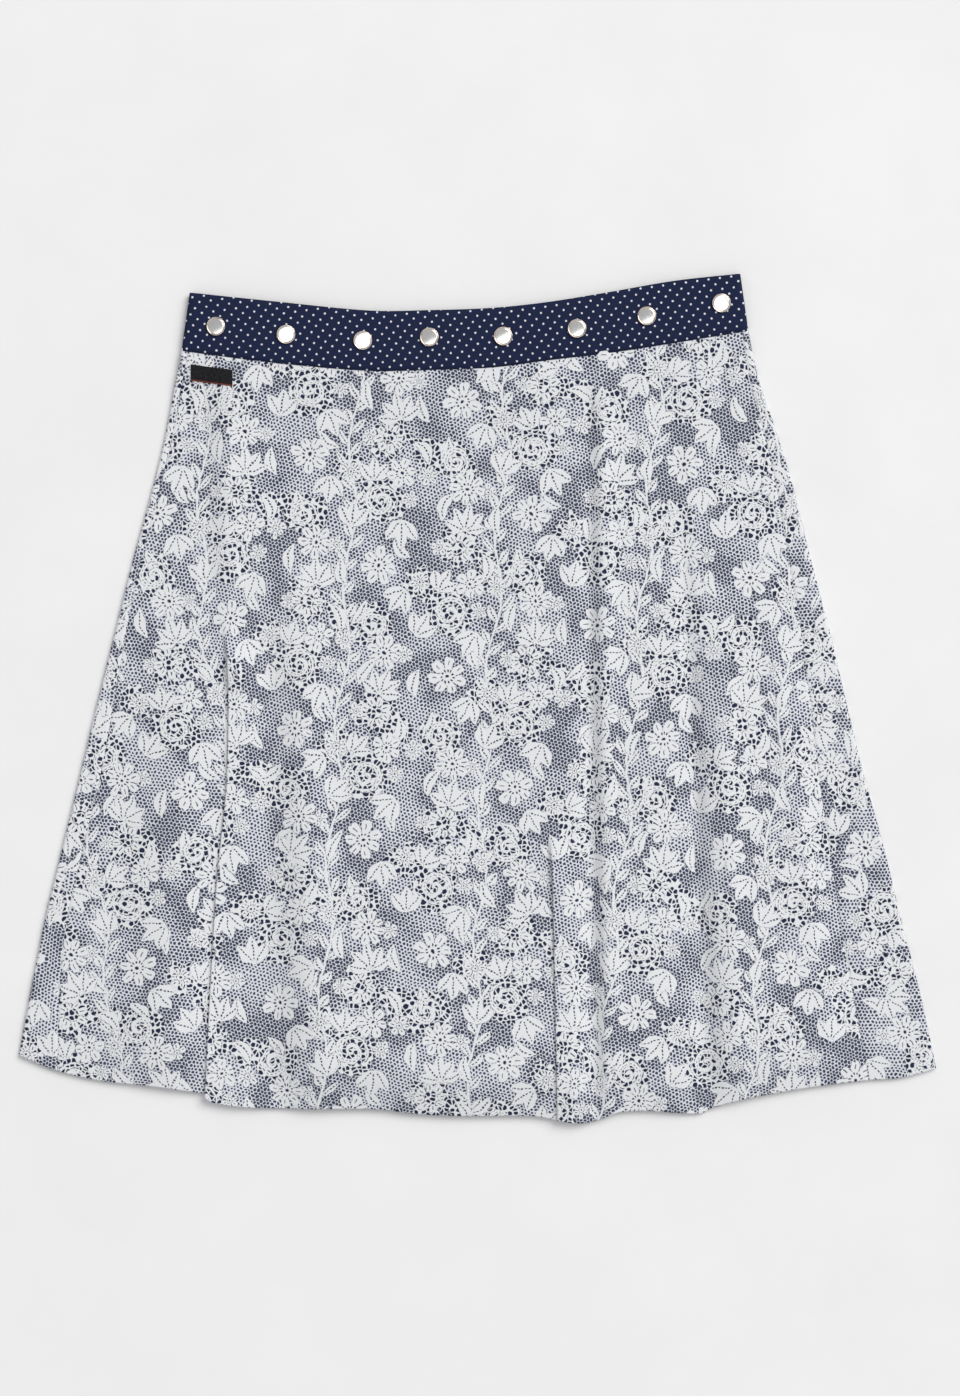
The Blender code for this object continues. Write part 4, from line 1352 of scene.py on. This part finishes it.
@dataclass(frozen=True)
class FloorFinish:
    """Matt white studio floor."""

    white: tuple[float, ...] = (0.86, 0.86, 0.865, 1.0)
    grey: tuple[float, ...] = (0.835, 0.835, 0.84, 1.0)

    def build(self) -> bpy.types.Material:
        """Makes the material."""
        made, g, shader = material("studio_floor")
        place = g.add("TexCoord").outputs["Object"]
        patches = g.scaled(g.noise(place, 9.0, 5.0, 0.6), 0.35, 0.65, 0.0, 1.0)
        g.join(g.blend(patches, self.white, self.grey), shader.inputs["Base Color"])
        shader.inputs["Roughness"].default_value = 0.95
        shader.inputs["Specular IOR Level"].default_value = 0.1
        return made


# ---------------------------------------------------------------------------------------------
# Pieces
# ---------------------------------------------------------------------------------------------


@dataclass
class Panels:
    """The three printed panels."""

    form: Form
    finish: bpy.types.Material
    cloth: float = 0.6
    row_times: int = 6
    column_times: int = 3
    tuck: float = 1.6
    tuck_share: float = 0.02
    seam_width: float = 2.2
    seam_columns: int = 2
    seam_dip: float = 0.5
    seam_spread: float = 1.0

    def seam_fall(self, x: Array, down: float) -> Array:
        """How far the cloth turns down into the side seams."""
        fall = np.zeros(np.shape(x))
        for side in Side:
            aside = (x - self.form.seam_x(side, down)) / self.seam_spread
            fall -= self.seam_dip * np.exp(-(aside**2))
        return fall

    def tucked(self, y: Array, down: float) -> Array:
        """y with the top edge drawn up into the waistband."""
        return y + self.tuck * (1.0 - float(ease(0.0, self.tuck_share, down)))

    def front_section(self, down: float, times: int) -> Array:
        """One row of points across the front panel.

        Args:
            down: share of the length from waist to hem.
            times: how many small steps replace one of the part's own.

        Returns:
            Places in millimetres.
        """
        form = self.form
        places, _ = form.fold_lines(down)
        x_of = {fold.name: x for fold, x in zip(form.folds, places)}
        columns = {fold.name: fold.columns for fold in form.folds}
        large = form.knife_path(form.large, down, times)
        small = form.knife_path(form.small, down, times)
        rim = self.seam_width
        left_seam, right_seam = x_of["left_seam"], x_of["right_seam"]

        first = run(
            [left_seam, left_seam + rim, x_of["left_crest"], large[0, 0]],
            [self.seam_columns * times] + [columns[name] * times for name in form.left_of_large],
        )
        middle = run(
            [large[-1, 0]] + [x_of[name] for name in form.between] + [small[0, 0]],
            [form.large.columns * times] + [columns[name] * times for name in form.between],
        )
        names = [fold.name for fold in form.folds]
        names = names[names.index("narrow_ridge") : -1]
        last = run(
            [small[-1, 0]] + [x_of[name] for name in names] + [right_seam - rim, right_seam],
            [form.small.columns * times]
            + [columns[name] * times for name in names]
            + [self.seam_columns * times],
        )

        def settled(fold: KnifeFold, x: Array, path: Array) -> Array:
            """Height left over beside a knife fold as the cloth on top comes down."""
            reach = path[:, 0].max() + 1.0
            return path[-1, 1] * (1.0 - ease(reach, reach + fold.settle, x))

        rest = settled(form.large, small[:1, 0], large)
        x = np.concatenate([first, large[1:, 0], middle[1:], small[1:, 0], last[1:]])
        z = np.concatenate([
            np.zeros(len(first)),
            large[1:, 1],
            settled(form.large, middle[1:], large),
            small[1:, 1] + rest,
            settled(form.small, last[1:], small),
        ])
        side = np.concatenate([
            np.zeros(len(first)),
            np.arange(1, len(large)) / (len(large) - 1),
            np.ones(len(x) - len(first) - len(large) + 1),
        ])
        y = form.front_y(x, down, side)
        base = form.level(form.front_band_level, form.front_level, down)
        z += base + form.lift(x, down) + form.crease_lift(x, y) + self.seam_fall(x, down)
        return np.stack([x, self.tucked(y, down), z], axis=1)

    def wrap_section(self, side: Side, down: float, times: int) -> Array:
        """One row of points of a wrap, from its side seam round the edge to its free end."""
        form = self.form
        base = form.level(form.front_band_level, form.front_level, down)
        bottom = form.level(form.outer_band_level, form.outer_level, down)
        upper = form.level(form.inner_band_level, form.inner_level, down)
        start = form.seam_x(side, down)
        seam_lift = float(form.lift(start, down))
        edge_lift = min(seam_lift, form.edge_lift)
        turn = form.around_edge(
            side, base + edge_lift, bottom, form.solid_cloth, form.edge_x(side, down), times
        )
        inner = start + side.value * self.seam_width
        top_x = run(
            [start, inner, turn[0, 0]],
            [self.seam_columns * times, form.seam_columns * times],
        )[:-1]
        share = (top_x - start) / (turn[0, 0] - start)
        top_y = form.front_y(top_x, down, 1.0 if side is Side.RIGHT else 0.0)
        top_z = base + mix(seam_lift, edge_lift, ease(0.0, 1.0, share))
        top_z = top_z + form.crease_lift(top_x, top_y) + self.seam_fall(top_x, down)
        under_x, laid = form.under_run(side, down, turn[-1, 0], times)
        x = np.concatenate([top_x, turn[:, 0], under_x])
        z = np.concatenate([top_z, turn[:, 1], mix(bottom, upper, laid)])
        y = np.concatenate([top_y, form.under_y(turn[:, 0], down), form.under_y(under_x, down)])
        return np.stack([x, self.tucked(y, down), z], axis=1)

    def add(self, name: str, section: object, turned: bool) -> bpy.types.Object:
        """Args:
            name: name of the panel's solid.
            section: gives one row of points from a share of the length and a fineness.
            turned: whether the print stands on its head.

        Returns:
            The piece.
        """
        rows = np.array(self.form.rows)
        coarse = np.stack([section(down, 1) for down in rows])
        fine = np.stack([section(down, self.column_times) for down in finer(rows, self.row_times)])
        laid = flatten(coarse)
        uv = finer(laid, self.row_times)
        uv = finer(uv.transpose(1, 0, 2), self.column_times).transpose(1, 0, 2)
        if turned:
            uv = -uv
        mesh = grid_mesh(name + "_cloth", fine[::-1], uv[::-1])
        piece = place_piece(name + "_cloth", mesh, self.finish, Slot.LACE, [name])
        thicken(piece, self.cloth)
        width, length = np.ptp(laid[..., 0]) * MM, np.ptp(laid[..., 1]) * MM
        LOG.info("%s cut: %.3f x %.3f m, %.4f m2", name, width, length, self.area(laid))
        return piece

    def area(self, laid: Array) -> float:
        """Area in square metres of a flat layout."""
        a, b, c, d = laid[:-1, :-1], laid[1:, :-1], laid[1:, 1:], laid[:-1, 1:]
        first, second = c - a, d - b
        return float(np.abs(first[..., 0] * second[..., 1] - first[..., 1] * second[..., 0]).sum()
                     / 2 * MM * MM)

    def build(self) -> list[bpy.types.Object]:
        """Builds all three panels."""
        def left(down: float, times: int) -> Array:
            """The left wrap's row, from its free end to its seam, so that X grows along it."""
            return self.wrap_section(Side.LEFT, down, times)[::-1]

        def right(down: float, times: int) -> Array:
            """The right wrap's row, from its seam to its free end."""
            return self.wrap_section(Side.RIGHT, down, times)

        return [
            self.add("front_panel", self.front_section, turned=False),
            self.add("left_wrap_panel", left, turned=True),
            self.add("right_wrap_panel", right, turned=True),
        ]


@dataclass
class StudCaps:
    """Eight press-stud caps on the front of the waistband and eight under it."""

    form: Form
    finish: bpy.types.Material
    radius: float = 6.8
    face: float = 5.6
    crown: float = 0.24
    height: float = 1.45
    bead: float = 0.48
    groove: float = 0.24
    steps: int = 56
    # x, above the middle of the band, tilt in degrees, the way it tilts in degrees
    front: tuple[tuple[float, float, float, float], ...] = (
        (-187.7, -0.8, 1.6, 160.0),
        (-137.4, -0.9, 6.0, -64.0),
        (-82.3, -0.4, 5.4, -78.0),
        (-34.6, 1.7, 1.6, 100.0),
        (18.4, 0.0, 1.2, -80.0),
        (71.4, -1.2, 1.6, 95.0),
        (121.5, 0.2, 1.8, 135.0),
        (175.0, 1.6, 5.6, -62.0),
    )
    back_first: float = -188.0
    back_pitch: float = 50.4
    back_count: int = 8
    back_radius: float = 6.9

    def front_profile(self) -> list[tuple[float, float]]:
        """Low dome in a rolled rim, from the axis outwards and under."""
        dome = [(share * self.face, self.height + self.crown * (1.0 - share**2))
                for share in (0.0, 0.08, 0.2, 0.35, 0.5, 0.65, 0.8, 0.92, 1.0)]
        middle = self.radius - self.bead
        groove = [(middle - self.bead, self.height - self.groove)]
        roll = [(middle - self.bead * math.cos(a), self.height - self.groove + self.bead * math.sin(a))
                for a in np.radians((25.0, 55.0, 85.0, 115.0, 145.0, 180.0, 215.0))]
        return dome + groove + roll + [(self.radius * 0.93, 0.0), (0.0, 0.0)]

    def back_profile(self) -> list[tuple[float, float]]:
        """Flat cap with a rounded lower rim, which rests on the surface."""
        height, radius = self.form.back_stud_height, self.back_radius
        roll = [(radius - 0.5 + 0.5 * math.sin(a), 0.5 - 0.5 * math.cos(a))
                for a in (1.57, 1.2, 0.8, 0.4, 0.0)]
        return [(0.0, height), (radius * 0.96, height), (radius, height * 0.8), *roll,
                (radius * 0.5, 0.05), (radius * 0.42, 0.3), (0.0, 0.3)]

    def cap(self, name: str, node: str, profile: Sequence[tuple[float, float]],
            place: Vector, tilt: Matrix) -> bpy.types.Object:
        """Turns one cap.

        Args:
            name: the piece's name.
            node: the solid that it stands for.
            profile: (radius, height) points in millimetres, from the top axis down.
            place: where the foot of its axis stands, in metres.
            tilt: how it leans.

        Returns:
            The piece.
        """
        bm = bmesh.new()
        points = [bm.verts.new((radius * MM, 0.0, height * MM)) for radius, height in profile]
        edges = [bm.edges.new(pair) for pair in zip(points, points[1:])]
        bmesh.ops.spin(
            bm, geom=points + edges, cent=(0.0, 0.0, 0.0), axis=(0.0, 0.0, 1.0),
            angle=2.0 * math.pi, steps=self.steps, use_merge=True,
        )
        bmesh.ops.remove_doubles(bm, verts=bm.verts, dist=0.00001)
        bmesh.ops.recalc_face_normals(bm, faces=bm.faces)
        layer = bm.loops.layers.uv.new("disc")
        for face in bm.faces:
            for loop in face.loops:
                loop[layer].uv = loop.vert.co.xy
        bmesh.ops.transform(bm, matrix=Matrix.Translation(place) @ tilt, verts=bm.verts)
        mesh = bpy.data.meshes.new(name)
        bm.to_mesh(mesh)
        bm.free()
        mesh.shade_smooth()
        mesh.set_sharp_from_angle(angle=math.radians(50.0))
        return place_piece(name, mesh, self.finish, Slot.STEEL, [node])

    def build(self) -> list[bpy.types.Object]:
        """Builds all sixteen caps."""
        form, made = self.form, []
        width = form.edge_x(Side.RIGHT, 0.0) - form.edge_x(Side.LEFT, 0.0)
        top = form.front_band_level + form.solid_band / 2 + form.gap / 2
        for number, (x, above, tilt, way) in enumerate(self.front, 1):
            share = (x - form.edge_x(Side.LEFT, 0.0)) / width
            y = float(form.band_y(share, 0.5)) + above
            axis = Vector((-math.sin(math.radians(way)), math.cos(math.radians(way)), 0.0))
            lean = Matrix.Rotation(math.radians(tilt), 4, axis)
            place = Vector((x, y, top)) * MM
            made.append(self.cap(f"front_cap_{number}", f"front_stud_{number}",
                                 self.front_profile(), place, lean))
        for number in range(1, self.back_count + 1):
            x = self.back_first + self.back_pitch * (number - 1)
            share = (x - form.edge_x(Side.LEFT, 0.0)) / width
            place = Vector((x, float(form.band_y(share, 0.5)), 0.0)) * MM
            made.append(self.cap(f"back_cap_{number}", f"back_stud_{number}",
                                 self.back_profile(), place, Matrix.Identity(4)))
        return made


@dataclass
class Waistband:
    """The doubled, pressed band that goes round the waist."""

    form: Form
    finish: bpy.types.Material
    studs: StudCaps
    thickness: float = 1.5
    rows: int = 14
    column_times: int = 6
    overhang: float = 0.6
    puff: float = 0.35
    dimple: float = 0.45
    dimple_spread: float = 7.5

    def section(self, upward: float) -> tuple[Array, Array]:
        """One row round the band.

        Args:
            upward: 0 at the lower edge and 1 at the upper one.

        Returns:
            Places in millimetres, and cloth coordinates that stay level with X on the front.
        """
        form, times = self.form, self.column_times
        left = mix(form.edge_x(Side.LEFT, 0.0), form.band_top_left, upward)
        right = mix(form.edge_x(Side.RIGHT, 0.0), form.band_top_right, upward)
        front, under, inner = form.front_band_level, form.outer_band_level, form.inner_band_level
        turn_r = form.around_edge(Side.RIGHT, front, under, form.solid_band, right, 2)
        turn_l = form.around_edge(Side.LEFT, front, under, form.solid_band, left, 2)
        under_r, laid = form.under_run(Side.RIGHT, 0.0, turn_r[-1, 0], 2)
        under_l, _ = form.under_run(Side.LEFT, 0.0, turn_l[-1, 0], 2)
        across = run([turn_r[0, 0], turn_l[0, 0]], [form.band_columns * times])[1:-1]
        x = np.concatenate([under_r[::-1], turn_r[::-1, 0], across, turn_l[:, 0], under_l])
        z = np.concatenate([
            mix(under, inner, laid)[::-1], turn_r[::-1, 1], np.full(len(across), front),
            turn_l[:, 1], np.full(len(under_l), under),
        ])
        y = form.band_y((x - left) / (right - left), upward)
        y = y - self.overhang * (1.0 - float(ease(0.0, 0.12, upward)))
        on_front = z > front - 0.05
        z = z + np.where(on_front, self.relief(x, y, upward), 0.0)
        steps = np.hypot(np.diff(x), np.diff(z) * (~on_front[1:] | ~on_front[:-1]))
        u = np.concatenate([[0.0], -np.cumsum(steps)])
        middle = len(x) // 2
        u += x[middle] - u[middle]
        return np.stack([x, y, z], axis=1), np.stack([u, y], axis=1)

    def relief(self, x: Array, y: Array, upward: float) -> Array:
        """Height of the front of the band over its flat level."""
        lift = self.puff * math.sin(math.pi * upward) ** 0.6 * np.ones(len(x))
        width = self.form.edge_x(Side.RIGHT, 0.0) - self.form.edge_x(Side.LEFT, 0.0)
        for stud_x, above, _, _ in self.studs.front:
            share = (stud_x - self.form.edge_x(Side.LEFT, 0.0)) / width
            stud_y = float(self.form.band_y(share, 0.5)) + above
            reach = ((x - stud_x) ** 2 + (y - stud_y) ** 2) / self.dimple_spread**2
            lift -= self.dimple * np.exp(-reach)
        return lift

    def build(self) -> bpy.types.Object:
        rows = [self.section(1.0 - share) for share in np.linspace(0.0, 1.0, self.rows + 1)]
        points = np.stack([row[0][::-1] for row in rows])
        uv = np.stack([row[1][::-1] for row in rows])
        mesh = grid_mesh("waistband_cloth", points[::-1], uv[::-1])
        piece = place_piece("waistband_cloth", mesh, self.finish, Slot.BAND, ["waistband"])
        thicken(piece, self.thickness)
        return piece


@dataclass
class Label:
    """The small woven label below the band on the left."""

    form: Form
    finish: bpy.types.Material
    left: float = -205.8
    length: float = 30.0
    width: float = 11.5
    drop: float = 9.5
    thickness: float = 0.5
    solid_thickness: float = 0.8
    columns: int = 40
    rows: int = 16
    down_to: float = -287.6

    def build(self) -> bpy.types.Object:
        """Builds the label from the front panel's points, moved out."""
        form = self.form
        rise = form.solid_cloth / 2 + form.gap / 2 + self.thickness / 2
        points, uv = [], []
        for row in range(self.rows + 1):
            line, flat = [], []
            for column in range(self.columns + 1):
                along = self.length * column / self.columns
                x = self.left + along
                top = float(form.band_y(form.across(x, 0.0), 0.0))
                fall = self.width * row / self.rows
                y = top - self.drop - fall
                down = (top - y) / (top - self.down_to)
                level = form.level(form.front_band_level, form.front_level, down)
                z = level + float(form.lift(x, down)) + rise
                z += float(form.crease_lift(np.array(x), np.array(y)))
                line.append((x, y, z))
                flat.append((along, -fall))
            points.append(line)
            uv.append(flat)
        mesh = grid_mesh("label_tape", np.array(points)[::-1], np.array(uv)[::-1])
        piece = place_piece("label_tape", mesh, self.finish, Slot.TAPE, ["label"])
        thicken(piece, self.thickness)
        return piece


# ---------------------------------------------------------------------------------------------
# Studio
# ---------------------------------------------------------------------------------------------


@dataclass(frozen=True)
class Lamp:
    """A square soft light that faces the skirt.

    Its azimuth is in degrees from X, its lean in degrees off the upright, and its half size in
    degrees as the skirt sees it. Its share is the brightness that it gives a white floor.
    """

    name: str
    azimuth: float
    lean: float
    half_size: float
    share: float
    distance: float = 15.0
    colour: tuple[float, float, float] = (1.0, 0.985, 0.965)

    def build(self) -> None:
        """Adds the lamp."""
        data = bpy.data.lights.new(self.name, "AREA")
        data.size = 2.0 * self.distance * math.tan(math.radians(self.half_size))
        lean, azimuth = math.radians(self.lean), math.radians(self.azimuth)
        data.energy = self.share * (math.pi * self.distance) ** 2 / math.cos(lean)
        data.color = self.colour
        aside = math.sin(lean)
        way = Vector((aside * math.cos(azimuth), aside * math.sin(azimuth), math.cos(lean)))
        lamp = bpy.data.objects.new(self.name, data)
        lamp.location = way * self.distance
        lamp.rotation_euler = way.to_track_quat("Z", "Y").to_euler()
        bpy.context.scene.collection.objects.link(lamp)


@dataclass
class Studio:
    """Pale floor, soft light from the right and a camera straight above."""

    floor_size: float = 16.0
    lens: float = 85.0
    sensor: float = 36.0
    view_x: float = 0.0018
    view_y: float = 0.00036
    distance: float = 2.373
    world: tuple[float, ...] = (0.80, 0.81, 0.83, 1.0)
    world_strength: float = 0.55
    lamps: tuple[Lamp, ...] = (
        Lamp("key", azimuth=44.0, lean=43.0, half_size=18.0, share=0.53),
        Lamp("window", azimuth=-62.0, lean=10.5, half_size=15.0, share=0.13),
    )

    def build(self) -> None:
        """Adds the floor, the world's light, the lamp and the camera."""
        bm = bmesh.new()
        bmesh.ops.create_grid(bm, x_segments=1, y_segments=1, size=self.floor_size / 2)
        mesh = bpy.data.meshes.new("studio_floor")
        bm.to_mesh(mesh)
        bm.free()
        mesh.materials.append(FloorFinish().build())
        floor = bpy.data.objects.new("studio_floor", mesh)
        bpy.context.scene.collection.objects.link(floor)
        self.add_world()
        for lamp in self.lamps:
            lamp.build()
        self.add_camera()

    def add_world(self) -> None:
        """Even light from all round."""
        world = bpy.data.worlds.new("studio")
        world.use_nodes = True
        back = world.node_tree.nodes["Background"]
        back.inputs["Color"].default_value = self.world
        back.inputs["Strength"].default_value = self.world_strength
        bpy.context.scene.world = world

    def add_camera(self) -> None:
        """Adds the camera straight above the skirt."""
        data = bpy.data.cameras.new("camera")
        data.lens, data.sensor_fit, data.sensor_height = self.lens, "VERTICAL", self.sensor
        data.clip_end = 50.0
        camera = bpy.data.objects.new("camera", data)
        camera.location = (self.view_x, self.view_y, self.distance)
        bpy.context.scene.collection.objects.link(camera)
        bpy.context.scene.camera = camera
        bpy.context.scene.view_settings.view_transform = "Standard"


def main() -> None:
    """Builds the studio and the skirt."""
    logging.basicConfig(level=logging.INFO, format="%(name)s %(message)s")
    form = Form()
    weave = weave_group()
    steel = SteelFinish().build()
    Studio().build()
    Panels(form, LaceFinish().build(weave)).build()
    studs = StudCaps(form, steel)
    studs.build()
    Waistband(form, SpottedFinish().build(weave), studs).build()
    Label(form, TapeFinish().build(weave)).build()


if __name__ == "__main__":
    main()
